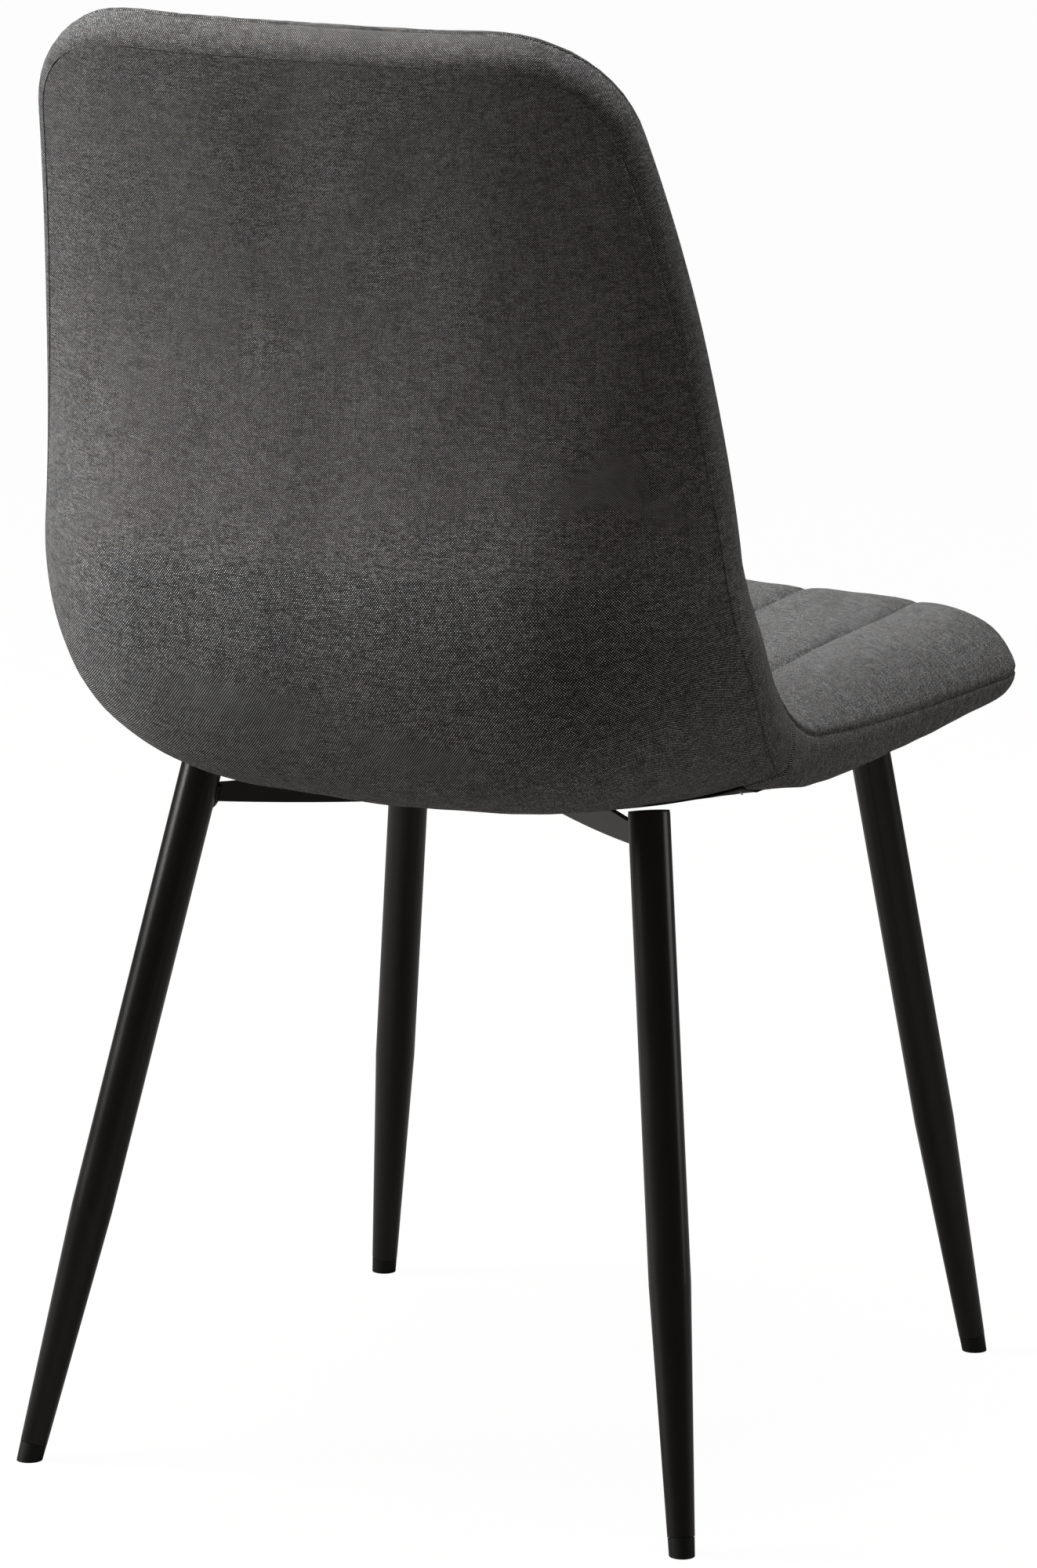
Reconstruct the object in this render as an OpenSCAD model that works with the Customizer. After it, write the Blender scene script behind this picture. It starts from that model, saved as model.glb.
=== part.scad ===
// Dining chair: an upholstered one-piece seat and back shell on four splayed tube legs.
// Millimetres, +Z up, origin on the floor under the middle of the chair. The sitter faces -Y.

/* [Seat line] */
// Height of the main seam at the front edge of the seat
seat_h = 445; // [380:1:500]
// Place of the front end of the centre line, measured back from the origin (negative is forward)
shell_front_y = -287.7; // [-330:0.1:-250]
// Length of the front lip along the centre line
lip_len = 65; // [40:1:100]
// Length of the straight part of the seat
seat_len = 278; // [220:1:340]
// Length of the bend between seat and back
bend_len = 153; // [120:1:190]
// Length of the short curve above the bend
lumbar_len = 75; // [50:1:110]
// Length of the upper back
back_len = 322; // [240:1:400]
// Slope of the front lip, in degrees
lip_slope = 3.5; // [-10:0.5:12]
// Slope of the seat, in degrees (negative falls to the rear)
seat_slope = -1; // [-5:0.5:3]
// Slope at the end of the bend, in degrees
bend_slope = 54; // [45:1:65]
// Slope above the lumbar curve, in degrees
lumbar_slope = 87; // [75:1:92]
// Slope at the top of the back, in degrees
top_slope = 65; // [58:1:80]

/* [Seat outline] */
// Width at the front end
front_w = 471; // [400:1:520]
// Width where the seat ends and the bend starts
seat_w = 448; // [380:1:500]
// Width where the bend ends
bend_w = 434; // [360:1:480]
// Width half way up the back
back_w = 412; // [340:1:460]
// Width at the top, before the corners are rounded
top_w = 356; // [300:1:420]
// Corner radius at the front
front_corner_r = 75; // [60:1:95]
// Corner radius at the top
top_corner_r = 70; // [55:1:90]
// How far the middle of the front edge stands forward of its ends
front_bulge = 17.5; // [5:0.5:25]
// How far the middle of the top edge stands above its ends
top_bulge = 4.5; // [0:0.5:10]
// Corner roundness: 2 is a circle, more is squarer
corner_power = 2.25; // [2:0.05:2.6]

/* [Shell depth] */
// Depth of the hollow under the rim at the front edge
front_dish = -7; // [-12:0.5:8]
// Depth of the hollow at the back of the seat
seat_dish = 17; // [8:0.5:30]
// Depth of the hollow at the bend
bend_dish = 61; // [40:0.5:70]
// Depth of the hollow half way up the back
back_dish = 40.5; // [30:0.5:60]
// Depth of the hollow at the top of the back
top_dish = 22; // [15:0.5:45]
// How late the hollow rises to the rim on the seat
seat_dish_power = 2.5; // [2:0.05:3]
// How late the hollow rises to the rim on the back
back_dish_power = 2.8; // [2:0.05:3.2]

/* [Layers] */
// Thickness of the cover fabric
cover_t = 1.2; // [0.8:0.1:2]
// Thickness of the moulded plywood board
board_t = 10; // [8:0.5:14]
// Thickness of the foam behind the board
back_foam_t = 8; // [5:0.5:12]
// Clearance between two curved layers
layer_gap = 0.3; // [0.2:0.05:0.5]
// How far the board's edge stays inside the cover
board_inset = 14; // [10:0.5:20]
// Width that the side band turns under the seat
band_w = 45; // [35:1:60]
// Distance from the seat's end back to the seam that crosses under the shell
cross_seam = 49; // [30:1:70]
// Thickness of the dust cover
dust_t = 0.6; // [0.4:0.1:1]

/* [Legs] */
// Outer diameter of the leg tube
leg_d = 25; // [20:0.5:32]
// Outer diameter at the foot
foot_d = 15.6; // [13:0.1:20]
// Wall of the leg tube
leg_wall = 1.5; // [1:0.1:2]
// Length of the tapered foot end
taper_len = 158; // [100:1:220]
// Distance between the rear feet
rear_foot_span = 432; // [360:1:500]
// Distance between the front feet
front_foot_span = 417; // [360:1:500]
// Place of the rear feet along Y
rear_foot_y = 225; // [180:0.1:260]
// Place of the front feet along Y
front_foot_y = -250.1; // [-290:0.1:-210]
// Distance between the rear leg tops
rear_top_span = 295; // [250:1:320]
// Distance between the front leg tops
front_top_span = 306.6; // [260:0.1:330]
// Place of the rear leg tops along Y
rear_top_y = 129.4; // [100:0.1:150]
// Place of the front leg tops along Y
front_top_y = -178.8; // [-205:0.1:-160]
// Visible height of the foot glide
glide_h = 11; // [8:0.5:16]

/* [Cross frame] */
// Thickness of the cross plates
plate_t = 4; // [3:0.5:6]
// Depth of the plates' lower edge under the seam line at the centre
plate_drop = 59; // [50:1:70]
// Rise of the lower edge from the centre to the legs
plate_rise = 11; // [4:1:20]
// Clearance between a leg's top and the shell
top_gap = 1.5; // [0.5:0.1:3]
// Thickness of the mounting tabs
tab_t = 3; // [2:0.5:5]
// Distance of a tab from the centre, along its plate
tab_reach = 96; // [80:1:110]
// Distance of a screw from the middle of its plate
tab_side = 20; // [16:0.5:26]
// Radius of the tab's round end
tab_r = 13; // [11:0.5:16]
// Thickness of the rubber spacer pads
pad_t = 4; // [3:0.5:6]

/* [Fasteners] */
// Screw diameter
screw_d = 5.9; // [4.9:0.1:7.9]
// Clearance on the radius of a screw's hole
hole_gap = 0.35; // [0.2:0.05:0.6]
// Number of staples round the dust cover
staple_n = 40; // [24:2:60]

/* [Hidden] */
$fn = 64;

fabric_colour = "#4b4c4e";
foam_colour = "#e6dcb8";
wood_colour = "#c39b6a";
metal_colour = "#1b1b1c";
plastic_colour = "#161616";
rubber_colour = "#2a2a2a";
steel_colour = "#b9bbbd";
dust_colour = "#232323";

// Rim radii and crowns. Each list runs over the five stations: front end, end of seat, end of bend,
// half way up the back, top.
inner_rim_r = 18;
outer_rim_r = 8;
inner_crown_r = 45;
outer_crown_r = 112;
inner_rim = [12, 11.5, 12, 13, 9.5];
outer_rim = [13, 31, 28, 22.5, 19];
outer_crown = [-1, -7, 44, 2, 4];
full_t = [47.5, 45.5, 46, 42, 36.5];
dish = [front_dish, seat_dish, bend_dish, back_dish, top_dish];
half_w = [front_w, seat_w, bend_w, back_w, top_w] / 2;
bulge_reach = 200;

knots = [0, lip_len, lip_len + seat_len, lip_len + seat_len + bend_len,
         lip_len + seat_len + bend_len + lumbar_len,
         lip_len + seat_len + bend_len + lumbar_len + back_len];
slopes = [lip_slope, seat_slope, seat_slope, bend_slope, lumbar_slope, top_slope];
shell_len = knots[5];
stations = [0, knots[2], knots[3], (knots[3] + shell_len) / 2, shell_len];
seam_s = knots[2] + cross_seam;

seat_rows = 14;
back_rows = 16;
cols = 20;
corner_rows = 5;
foam_inset = cover_t + layer_gap;
foam_start = seam_s + 6;
dust_inset = band_w - 12;
dust_end = seam_s + 14;
dust_lift = layer_gap + 0.2;

// ---- curves -------------------------------------------------------------------------------

function clamp(v, lo, hi) = min(max(v, lo), hi);
function reversed(v) = [for (i = [len(v) - 1:-1:0]) v[i]];
function soft_step(v) = let (t = clamp(v, 0, 1)) t * t * (3 - 2 * t);

// Position and slope [y, z, angle] at length u along an arc that turns from angle a to b.
function arc_point(p, a, b, len, u) =
    let (t = a + (b - a) * u / len, r = len / ((b - a) * PI / 180))
    abs(b - a) < 0.001
        ? [p.x + u * cos(a), p.y + u * sin(a), a]
        : [p.x + r * (sin(t) - sin(a)), p.y - r * (cos(t) - cos(a)), t];

// Start of every arc of the centre line.
function arc_starts(i = 0, p = [shell_front_y, seat_h]) =
    i == 5 ? [p]
    : let (e = arc_point(p, slopes[i], slopes[i + 1], knots[i + 1] - knots[i], knots[i + 1] - knots[i]))
      concat([p], arc_starts(i + 1, [e.x, e.y]));
starts = arc_starts();

function span_of(s) = s < knots[1] ? 0 : s < knots[2] ? 1 : s < knots[3] ? 2 : s < knots[4] ? 3 : 4;

// Centre line [y, z, angle] at length s from the front, straight past its ends.
function centre_line(s) =
    let (t = clamp(s, 0, shell_len), i = span_of(t),
         p = arc_point(starts[i], slopes[i], slopes[i + 1], knots[i + 1] - knots[i], t - knots[i]))
    [p.x + (s - t) * cos(p[2]), p.y + (s - t) * sin(p[2]), p[2]];

function tangent(v, i) =
    i == 0 ? (v[1] - v[0]) / (stations[1] - stations[0])
    : i == 4 ? (v[4] - v[3]) / (stations[4] - stations[3])
    : (v[i + 1] - v[i - 1]) / (stations[i + 1] - stations[i - 1]);

// Smooth value at length s from a list that gives one value at each station.
function at_station(v, s) =
    let (i = s < stations[1] ? 0 : s < stations[2] ? 1 : s < stations[3] ? 2 : 3,
         len = stations[i + 1] - stations[i], t = (s - stations[i]) / len)
    (2 * t ^ 3 - 3 * t ^ 2 + 1) * v[i] + (t ^ 3 - 2 * t ^ 2 + t) * len * tangent(v, i)
    + (3 * t ^ 2 - 2 * t ^ 3) * v[i + 1] + (t ^ 3 - t ^ 2) * len * tangent(v, i + 1);

function corner_cut(t) = 1 - (1 - clamp(t, 0, 1) ^ corner_power) ^ (1 / corner_power);

// Half width of the outline at length s, moved in by inset all round.
function half_width(s, inset = 0) =
    let (rf = front_corner_r - inset, rt = top_corner_r - inset)
    at_station(half_w, s) - inset
    - rf * corner_cut((front_corner_r - s) / rf) - rt * corner_cut((s - shell_len + top_corner_r) / rt);

function corner_edge(u, v, r) =
    r * (1 - (clamp(u / r, 0, 9) ^ corner_power + clamp(v / r, 0, 9) ^ corner_power) ^ (1 / corner_power));

// Distance in from the outline that is itself moved in by inset.
function edge_distance(s, x, inset = 0) =
    let (w = at_station(half_w, s), rf = front_corner_r, rt = top_corner_r,
         side = abs(x) - (w - rf), side_top = abs(x) - (w - rt), from_top = s - (shell_len - rt))
    max(0, s < rf && side > 0 ? corner_edge(rf - s, side, rf - inset)
        : from_top > 0 && side_top > 0 ? corner_edge(from_top, side_top, rt - inset)
        : min(w - abs(x), s, shell_len - s) - inset);

function round_edge(d, r) = sqrt(max(0, 1 - (1 - clamp(d / r, 0, 1)) ^ 2));
function crown(d, r) = 1 - (1 - clamp(d / r, 0, 1)) ^ 2;

// Height of the upholstery over, and depth under, the seam surface.
function over(s, x, inset) =
    let (d = edge_distance(s, x, inset), rim = at_station(inner_rim, s),
         rise = at_station(full_t, s) - rim - at_station(outer_rim, s) - at_station(outer_crown, s))
    (rim - inset) * round_edge(d, inner_rim_r - inset) + rise * crown(d, inner_crown_r);
function under(s, x, inset) =
    let (d = edge_distance(s, x, inset))
    (at_station(outer_rim, s) - inset) * round_edge(d, outer_rim_r - inset)
    + at_station(outer_crown, s) * crown(d, outer_crown_r);

// Point at length s, sideways place x and height k over the dished seam surface.
function shell_point(s, x, k) =
    let (w = at_station(half_w, s), share = min(abs(x) / w, 1),
         power = seat_dish_power + (back_dish_power - seat_dish_power)
                 * soft_step((s - 0.9 * knots[2]) / (knots[3] - 0.9 * knots[2])),
         depth = at_station(dish, s),
         lean = depth * power * share ^ (power - 1) / w * sign(x),
         stretch = sqrt(1 + lean ^ 2),
         middle = 1 - share ^ 2,
         shift = top_bulge * middle * soft_step((s - shell_len + bulge_reach) / bulge_reach)
                 - front_bulge * middle * soft_step((bulge_reach - s) / bulge_reach),
         c = centre_line(s + shift),
         h = depth * share ^ power + k / stretch)
    [x - k * lean / stretch, c.x - h * sin(c[2]), c.y + h * cos(c[2])];

// ---- layers: each gives the height k of one face --------------------------------------------

cover_top = function (s, x) over(s, x, 0);
cover_inside = function (s, x) over(s, x, cover_t);
foam_top = function (s, x) over(s, x, foam_inset);
back_outside = function (s, x) -under(s, x, 0) - layer_gap;
back_inside = function (s, x) -under(s, x, cover_t) - layer_gap;
wrap_inside = function (s, x) -under(s, x, foam_inset) - layer_gap;
// The foam behind the board starts thin at the cross seam and thins out again to its edges.
foam_edge_t = layer_gap / 2;
foam_lead = 60;
function foam_t(s, x) =
    foam_edge_t + (back_foam_t - foam_edge_t) * soft_step((s - foam_start) / foam_lead)
    * clamp(edge_distance(s, x, foam_inset) / (board_inset - foam_inset), 0, 1);
back_foam_top = function (s, x) wrap_inside(s, x) + foam_t(s, x);
function foam_room(s, x) = s < foam_start ? 0 : foam_t(s, x) + layer_gap;
board_low = function (s, x) wrap_inside(s, x) + foam_room(s, x);
board_high = function (s, x) board_low(s, x) + board_t;
foam_low = function (s, x) board_high(s, x) + layer_gap;
dust_top = function (s, x) back_outside(s, x) - dust_lift;
dust_low = function (s, x) back_outside(s, x) - dust_lift - dust_t;

// ---- sheets: grids of points and the faces between them --------------------------------------

// Rows between the rounded corners, shared by every layer so that their faces stay parallel.
mid_rows = concat(
    [for (i = [0:seat_rows]) front_corner_r + (seam_s - front_corner_r) * i / seat_rows],
    [for (i = [1:back_rows]) seam_s + (shell_len - top_corner_r - seam_s) * i / back_rows]);

// Lengths s of the rows of a sheet from s0 to s1, close together in the rounded corners.
function row_places(s0, s1, inset) =
    let (rf = front_corner_r - inset, rt = top_corner_r - inset,
         front = s0 <= inset, top = s1 >= shell_len - inset,
         low = front ? [for (i = [0:corner_rows - 1]) inset + rf * (1 - cos(90 * i / corner_rows))] : [s0],
         high = top
                ? [for (i = [corner_rows - 1:-1:0]) shell_len - inset - rt * (1 - cos(90 * i / corner_rows))]
                : [s1],
         lo = front ? 0 : s0 + 2, hi = top ? shell_len : s1 - 2)
    concat(low, [for (s = mid_rows) if (s > lo && s < hi) s], high);

function sheet(places, inset, k) =
    [for (s = places) for (j = [0:cols])
        let (x = half_width(s, inset) * sin(-90 + 180 * j / cols)) shell_point(s, x, k(s, x))];

// Points along the edge of a sheet: first row, right side, last row, left side.
function rim_points(places, inset, k) =
    let (n = len(places) - 1,
         run = concat([for (j = [0:cols]) [0, j]], [for (i = [1:n]) [i, cols]],
                      [for (j = [cols - 1:-1:0]) [n, j]], [for (i = [n - 1:-1:1]) [i, 0]]))
    [for (r = run)
        let (s = places[r[0]], x = half_width(s, inset) * sin(-90 + 180 * r[1] / cols))
        shell_point(s, x, k(s, x))];

function rim_index(n_rows, start = 0) =
    let (n = n_rows - 1, c = cols + 1)
    concat([for (j = [0:cols]) start + j], [for (i = [1:n]) start + i * c + cols],
           [for (j = [cols - 1:-1:0]) start + n * c + j], [for (i = [n - 1:-1:1]) start + i * c]);

function grid_faces(n_rows, start, up) =
    let (c = cols + 1)
    [for (i = [0:n_rows - 2]) for (j = [0:cols - 1])
        let (a = start + i * c + j, b = a + 1, d = a + c, e = d + 1)
        for (t = up ? [[a, d, e], [a, e, b]] : [[a, e, d], [a, b, e]]) t];

function strip_faces(top, low) =
    let (n = len(top))
    [for (i = [0:n - 1])
        let (j = (i + 1) % n)
        for (t = [[top[i], top[j], low[j]], [top[i], low[j], low[i]]]) t];

// Closed solid between a top sheet and a bottom sheet, with rings of points between their edges.
module layered_solid(top_rows, top_inset, top_k, low_rows, low_inset, low_k, rings = []) {
    n_top = len(top_rows);
    n_low = len(low_rows);
    n_points = (cols + 1) * n_top;
    n_rim = 2 * (n_top + cols) - 2;
    low_start = n_points + n_rim * len(rings);
    points = concat(sheet(top_rows, top_inset, top_k), [for (r = rings) each r],
                    sheet(low_rows, low_inset, low_k));
    loops = concat([rim_index(n_top)],
                   [for (r = [0:1:len(rings) - 1]) [for (i = [0:n_rim - 1]) n_points + r * n_rim + i]],
                   [rim_index(n_low, low_start)]);
    faces = concat(grid_faces(n_top, 0, true), grid_faces(n_low, low_start, false),
                   [for (r = [0:len(loops) - 2]) each strip_faces(loops[r], loops[r + 1])]);
    polyhedron(points, faces, convexity = 8);
}

// Rings of points round a sheet's rim, at each distance of steps inside its edge. A sheet that
// starts behind the front edge draws its first row in by the same distance.
function rim_rings(s0, s1, inset, k, steps) =
    [for (d = steps) rim_points(row_places(s0 <= inset ? inset + d : s0 + d, s1, inset + d), inset + d, k)];

// Layer on the outside of the rim, where both faces turn over the same rounded edge.
module wrapped_layer(s0, s1, top_inset, top_k, top_in, low_inset, low_k, low_in) {
    top_steps = [for (d = rim_steps) if (d < top_in) d];
    low_steps = [for (d = rim_steps) if (d < low_in) d];
    top_rings = rim_rings(s0, s1, top_inset, top_k, reversed(top_steps));
    low_rings = rim_rings(s0, s1, low_inset, low_k, low_steps);
    first = s0 <= top_inset ? top_inset + top_in : s0 + top_in;
    layered_solid(row_places(first, s1, top_inset + top_in), top_inset + top_in, top_k,
                  row_places(s0 <= low_inset ? low_inset + low_in : s0 + low_in, s1, low_inset + low_in),
                  low_inset + low_in, low_k, concat(top_rings, low_rings));
}

module plain_layer(s0, s1, top_inset, top_k, low_inset, low_k) {
    layered_solid(row_places(s0, s1, top_inset), top_inset, top_k,
                  row_places(s0, s1, low_inset), low_inset, low_k);
}

// ---- heights on the shell over a point of the floor ------------------------------------------

// Length s at which the surface k passes over y, for a surface that runs back as s grows.
function find_s(x, y, k, lo = 20, hi = 0, n = 0) =
    let (h = hi == 0 ? knots[3] : hi, mid = (lo + h) / 2)
    n == 24 ? mid
    : shell_point(mid, x, k(mid, x)).y < y
    ? find_s(x, y, k, mid, h, n + 1)
    : find_s(x, y, k, lo, mid, n + 1);
function find_x(x, y, k, guess, n = 0) =
    let (s = find_s(guess, y, k), off = shell_point(s, guess, k(s, guess)).x - x)
    n == 5 ? guess : find_x(x, y, k, guess - off, n + 1);
function height_at(x, y, k) =
    let (g = find_x(x, y, k, x), s = find_s(g, y, k)) shell_point(s, g, k(s, g)).z;

// Lowest height of a surface over a disc of radius r.
function low_over(x, y, r, k) = min([for (a = [0:45:315]) height_at(x + r * cos(a), y + r * sin(a), k)]);

// ---- upholstery ------------------------------------------------------------------------------

// Distances in from the edge at which the rim is drawn.
rim_steps = [0, 0.4, 1.4, 3, 5, 8];
rim_w = 12;

module shell_board() {
    color(wood_colour)
    difference() {
        plain_layer(0, shell_len, board_inset, board_high, board_inset, board_low);
        for (p = screw_places) translate([p.x, p.y, 0]) {
            cylinder(r = nut_r + hole_gap, h = 2 * seat_h);
            translate([0, 0, nut_top(p) - flange_t - 0.1]) cylinder(r = flange_r + 0.5, h = 60);
        }
    }
}

// The seat and back foam lies on the board and wraps round its edge.
module inner_foam() {
    in_board = board_inset - layer_gap;
    steps = concat([for (d = [1:5]) foam_inset + rim_steps[d]], [in_board]);
    low = function (s, x) board_low(s, x) + layer_gap;
    rings = concat([for (d = steps) rim_points(row_places(0, shell_len, d), d, low)],
                   [rim_points(row_places(0, shell_len, in_board), in_board, foam_low)]);
    color(foam_colour)
    layered_solid(row_places(0, shell_len, foam_inset), foam_inset, foam_top,
                  row_places(0, shell_len, board_inset + 1), board_inset + 1, foam_low, rings);
}

module outer_foam() {
    color(foam_colour)
    wrapped_layer(foam_start + 1, shell_len, foam_inset, back_foam_top, board_inset - foam_inset,
                  foam_inset, wrap_inside, rim_w);
}

module inner_cover() {
    color(fabric_colour)
    plain_layer(0, shell_len, 0, cover_top, cover_t, cover_inside);
}

module outer_cover() {
    color(fabric_colour)
    wrapped_layer(seam_s, shell_len, cover_t, back_inside, rim_w, 0, back_outside, rim_w);
}

// The band follows the sides and the front of the seat and turns under it.
band_steps = concat(rim_steps, [14, 22, 33, band_w]);
function band_run(inset) =
    let (s_in = inset, rf = front_corner_r - inset,
         side = [for (i = [seat_rows:-1:0]) i == seat_rows ? seam_s - layer_gap : mid_rows[i]],
         corner = [for (i = [corner_rows - 1:-1:0]) s_in + rf * (1 - cos(90 * i / corner_rows))],
         all = concat(side, corner))
    concat([for (s = all) [s, half_width(s, inset)]],
           [for (j = [1:cols - 1]) [s_in, half_width(s_in, inset) * sin(90 - 180 * j / cols)]],
           [for (i = [len(all) - 1:-1:0]) [all[i], -half_width(all[i], inset)]]);
function band_row(step, k) = [for (q = band_run(step)) shell_point(q[0], q[1], k(q[0], q[1]))];

module seat_side_band() {
    n = len(band_run(0));
    m = len(band_steps);
    outside = [for (d = band_steps) each band_row(d, back_outside)];
    inside = [for (d = band_steps) each band_row(cover_t + min(d, band_w - cover_t), back_inside)];
    o = n * m;
    skins = [for (i = [0:m - 2]) for (j = [0:n - 2])
        let (a = i * n + j, b = a + 1, c = a + n, d = c + 1)
        for (t = [[a, d, b], [a, c, d], [o + a, o + b, o + d], [o + a, o + d, o + c]]) t];
    edge = concat([for (j = [0:n - 1]) j], [for (i = [1:m - 1]) i * n + n - 1],
                  [for (j = [n - 2:-1:0]) (m - 1) * n + j], [for (i = [m - 2:-1:1]) i * n]);
    sides = [for (i = [0:len(edge) - 1])
        let (a = edge[i], b = edge[(i + 1) % len(edge)])
        for (t = [[a, b, o + b], [a, o + b, o + a]]) t];
    color(fabric_colour)
    polyhedron(concat(outside, inside), concat(skins, sides), convexity = 8);
}

module dust_cover() {
    color(dust_colour)
    difference() {
        plain_layer(dust_inset, dust_end, dust_inset, dust_top, dust_inset, dust_low);
        for (p = screw_places) translate([p.x, p.y, 0]) cylinder(r = nut_r + 2, h = 2 * seat_h);
    }
}

// Places [s, x] along the dust cover's edge, spaced evenly by count.
staple_in = dust_inset + 5;
staple_lift = 1;
staple_end_in = 75;
function staple_place(i) =
    let (side_n = round(staple_n * 0.36), end_n = staple_n / 2 - side_n,
         h = staple_n / 2, j = i % h, s0 = front_corner_r, s1 = dust_end - 16)
    j < side_n
        ? let (s = s0 + (s1 - s0) * j / (side_n - 1)) [s, (i < h ? 1 : -1) * (half_width(s, staple_in)), 0]
        : let (t = (j - side_n + 0.5) / end_n, s = i < h ? staple_in : dust_end - 5)
          [s, (2 * t - 1) * (half_width(max(s, front_corner_r), staple_in) - staple_end_in), 90];

module dust_cover_staples() {
    color(steel_colour)
    for (i = [0:staple_n - 1]) {
        q = staple_place(i);
        k = -under(q[0], q[1], 0) - layer_gap - dust_lift - dust_t - staple_lift;
        p = shell_point(q[0], q[1], k);
        ahead = shell_point(q[0] + 1, q[1], k) - p;
        tilt = atan2(ahead.z, ahead.y);
        across = shell_point(q[0], q[1] + 1, k) - p;
        roll = -atan2(across.z, across.x);
        translate(p) rotate([tilt, roll, q[2]]) cube([0.9, 9, 0.5], center = true);
    }
}

// ---- legs ------------------------------------------------------------------------------------

leg_r = leg_d / 2;
foot_r = foot_d / 2;
plug_t = 1.5;
plug_gap = 0.2;
glide_gap = 0.3;
spigot_len = 18;
under_leg = function (s, x) back_outside(s, x);

// Each leg is [foot x, foot y, top x, top y] on the +X side.
rear_leg = [rear_foot_span / 2, rear_foot_y, rear_top_span / 2, rear_top_y];
front_leg = [front_foot_span / 2, front_foot_y, front_top_span / 2, front_top_y];
function leg_top_z(g) = low_over(g[2], g[3], leg_r * 1.05, under_leg) - top_gap - plug_t;
rear_z = leg_top_z(rear_leg);
front_z = leg_top_z(front_leg);
function leg_z(g) = g == rear_leg ? rear_z : front_z;
function leg_vector(g) = [g[2] - g[0], g[3] - g[1], leg_z(g)];

// Puts a solid drawn along +Z from the foot onto the leg's line.
module along_leg(g) {
    v = leg_vector(g);
    translate([g[0], g[1], 0]) rotate([0, acos(v.z / norm(v)), atan2(v.y, v.x)]) children();
}

// Radius of the leg's outside at a length up from its foot.
function leg_radius(up) = foot_r + (leg_r - foot_r) * min(up / taper_len, 1);
foot_past = 3;

module slab(z0, z1) {
    translate([-500, -500, z0]) cube([1000, 1000, z1 - z0]);
}

// Point on the outside of a leg's tube at a length up from the foot and an angle round the tube.
function leg_skin(g, up, a) =
    let (v = leg_vector(g), tilt = acos(v.z / norm(v)), turn = atan2(v.y, v.x),
         ahead = leg_r * cos(a) * cos(tilt) + up * sin(tilt), side = leg_r * sin(a))
    [g[0] + ahead * cos(turn) - side * sin(turn), g[1] + ahead * sin(turn) + side * cos(turn),
     up * cos(tilt) - leg_r * cos(a) * sin(tilt)];

// Length up from the foot at which the tube's square end comes within top_gap of the shell.
function tube_end(g, up, n = 0) =
    let (room = min([for (a = [0:45:315]) let (p = leg_skin(g, up, a)) height_at(p.x, p.y, under_leg) - p.z]))
    n == 3 ? up : tube_end(g, up + room - top_gap, n + 1);
rear_tube_end = tube_end(rear_leg, norm(leg_vector(rear_leg))) - plug_t;
front_tube_end = tube_end(front_leg, norm(leg_vector(front_leg))) - plug_t;
function tube_len(g) = g == rear_leg ? rear_tube_end : front_tube_end;

// Tapered tube, cut square at both ends.
module leg(g) {
    inner_r = leg_r - leg_wall;
    color(metal_colour)
    along_leg(g) rotate_extrude() polygon([
        [leg_radius(glide_h) - leg_wall, glide_h], [leg_radius(glide_h), glide_h], [leg_r, taper_len],
        [leg_r, tube_len(g)], [inner_r, tube_len(g)], [inner_r, taper_len]]);
}

// Foot with a level underside and a spigot that stands in the tube.
module foot_glide(g) {
    shoulder = glide_h - glide_gap;
    spigot_r = foot_r - leg_wall - glide_gap;
    color(plastic_colour)
    intersection() {
        along_leg(g) rotate([0, 0, 90]) rotate_extrude() polygon([
            [0, -foot_past], [leg_radius(-foot_past) - glide_gap / 2, -foot_past],
            [leg_radius(shoulder) - glide_gap / 2, shoulder], [spigot_r, shoulder],
            [spigot_r, shoulder + spigot_len], [0, shoulder + spigot_len]]);
        slab(0, seat_h);
    }
}

// Flat cap with a spigot that closes a tube's upper end.
module top_plug(g) {
    end = tube_len(g);
    spigot_r = leg_r - leg_wall - plug_gap;
    along_leg(g) rotate_extrude() polygon([
        [0, end - spigot_len], [spigot_r, end - spigot_len], [spigot_r, end + plug_gap / 4],
        [leg_r - plug_gap, end + plug_gap / 4], [leg_r - plug_gap, end + plug_t], [0, end + plug_t]]);
}

module tube_top_plugs() {
    color(plastic_colour)
    for (g = [rear_leg, front_leg]) for (m = [0, 1]) mirror([m, 0, 0]) top_plug(g);
}

// ---- cross frame -----------------------------------------------------------------------------

// Point on a leg's middle line at height z.
function leg_at(g, z) = let (v = leg_vector(g)) [g[0] + v.x * z / v.z, g[1] + v.y * z / v.z];

plate_low = seat_h - plate_drop;
joint_z = plate_low + 20;
rear_end = leg_at(rear_leg, joint_z);
front_end = leg_at(front_leg, joint_z);
// The diagonal runs from the rear left leg to the front right leg and crosses x = 0 at cross_y.
diagonal = [-front_end.x - rear_end.x, front_end.y - rear_end.y];
diagonal_len = norm(diagonal);
heading = atan2(diagonal.y, diagonal.x);
along = diagonal / diagonal_len;
cross_u = rear_end.x / -along.x;
cross_y = rear_end.y + cross_u * along.y;

// Middles of the tabs on the diagonal, and their screws, on the plate of the rear left leg.
rear_tab = [0, cross_y] - along * tab_reach;
front_tab = [0, cross_y] + along * tab_reach;
side_way = [along.y, -along.x];
rear_screw = rear_tab + side_way * tab_side;
front_screw = front_tab - side_way * tab_side;
screw_places = [for (p = [rear_screw, front_screw]) for (m = [1, -1]) [m * p.x, p.y]];
function tab_z(p) = low_over(p.x, p.y, tab_r, dust_low) - 0.2 - pad_t - tab_t;
rear_tab_z = tab_z(rear_screw);
front_tab_z = tab_z(front_screw);

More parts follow.
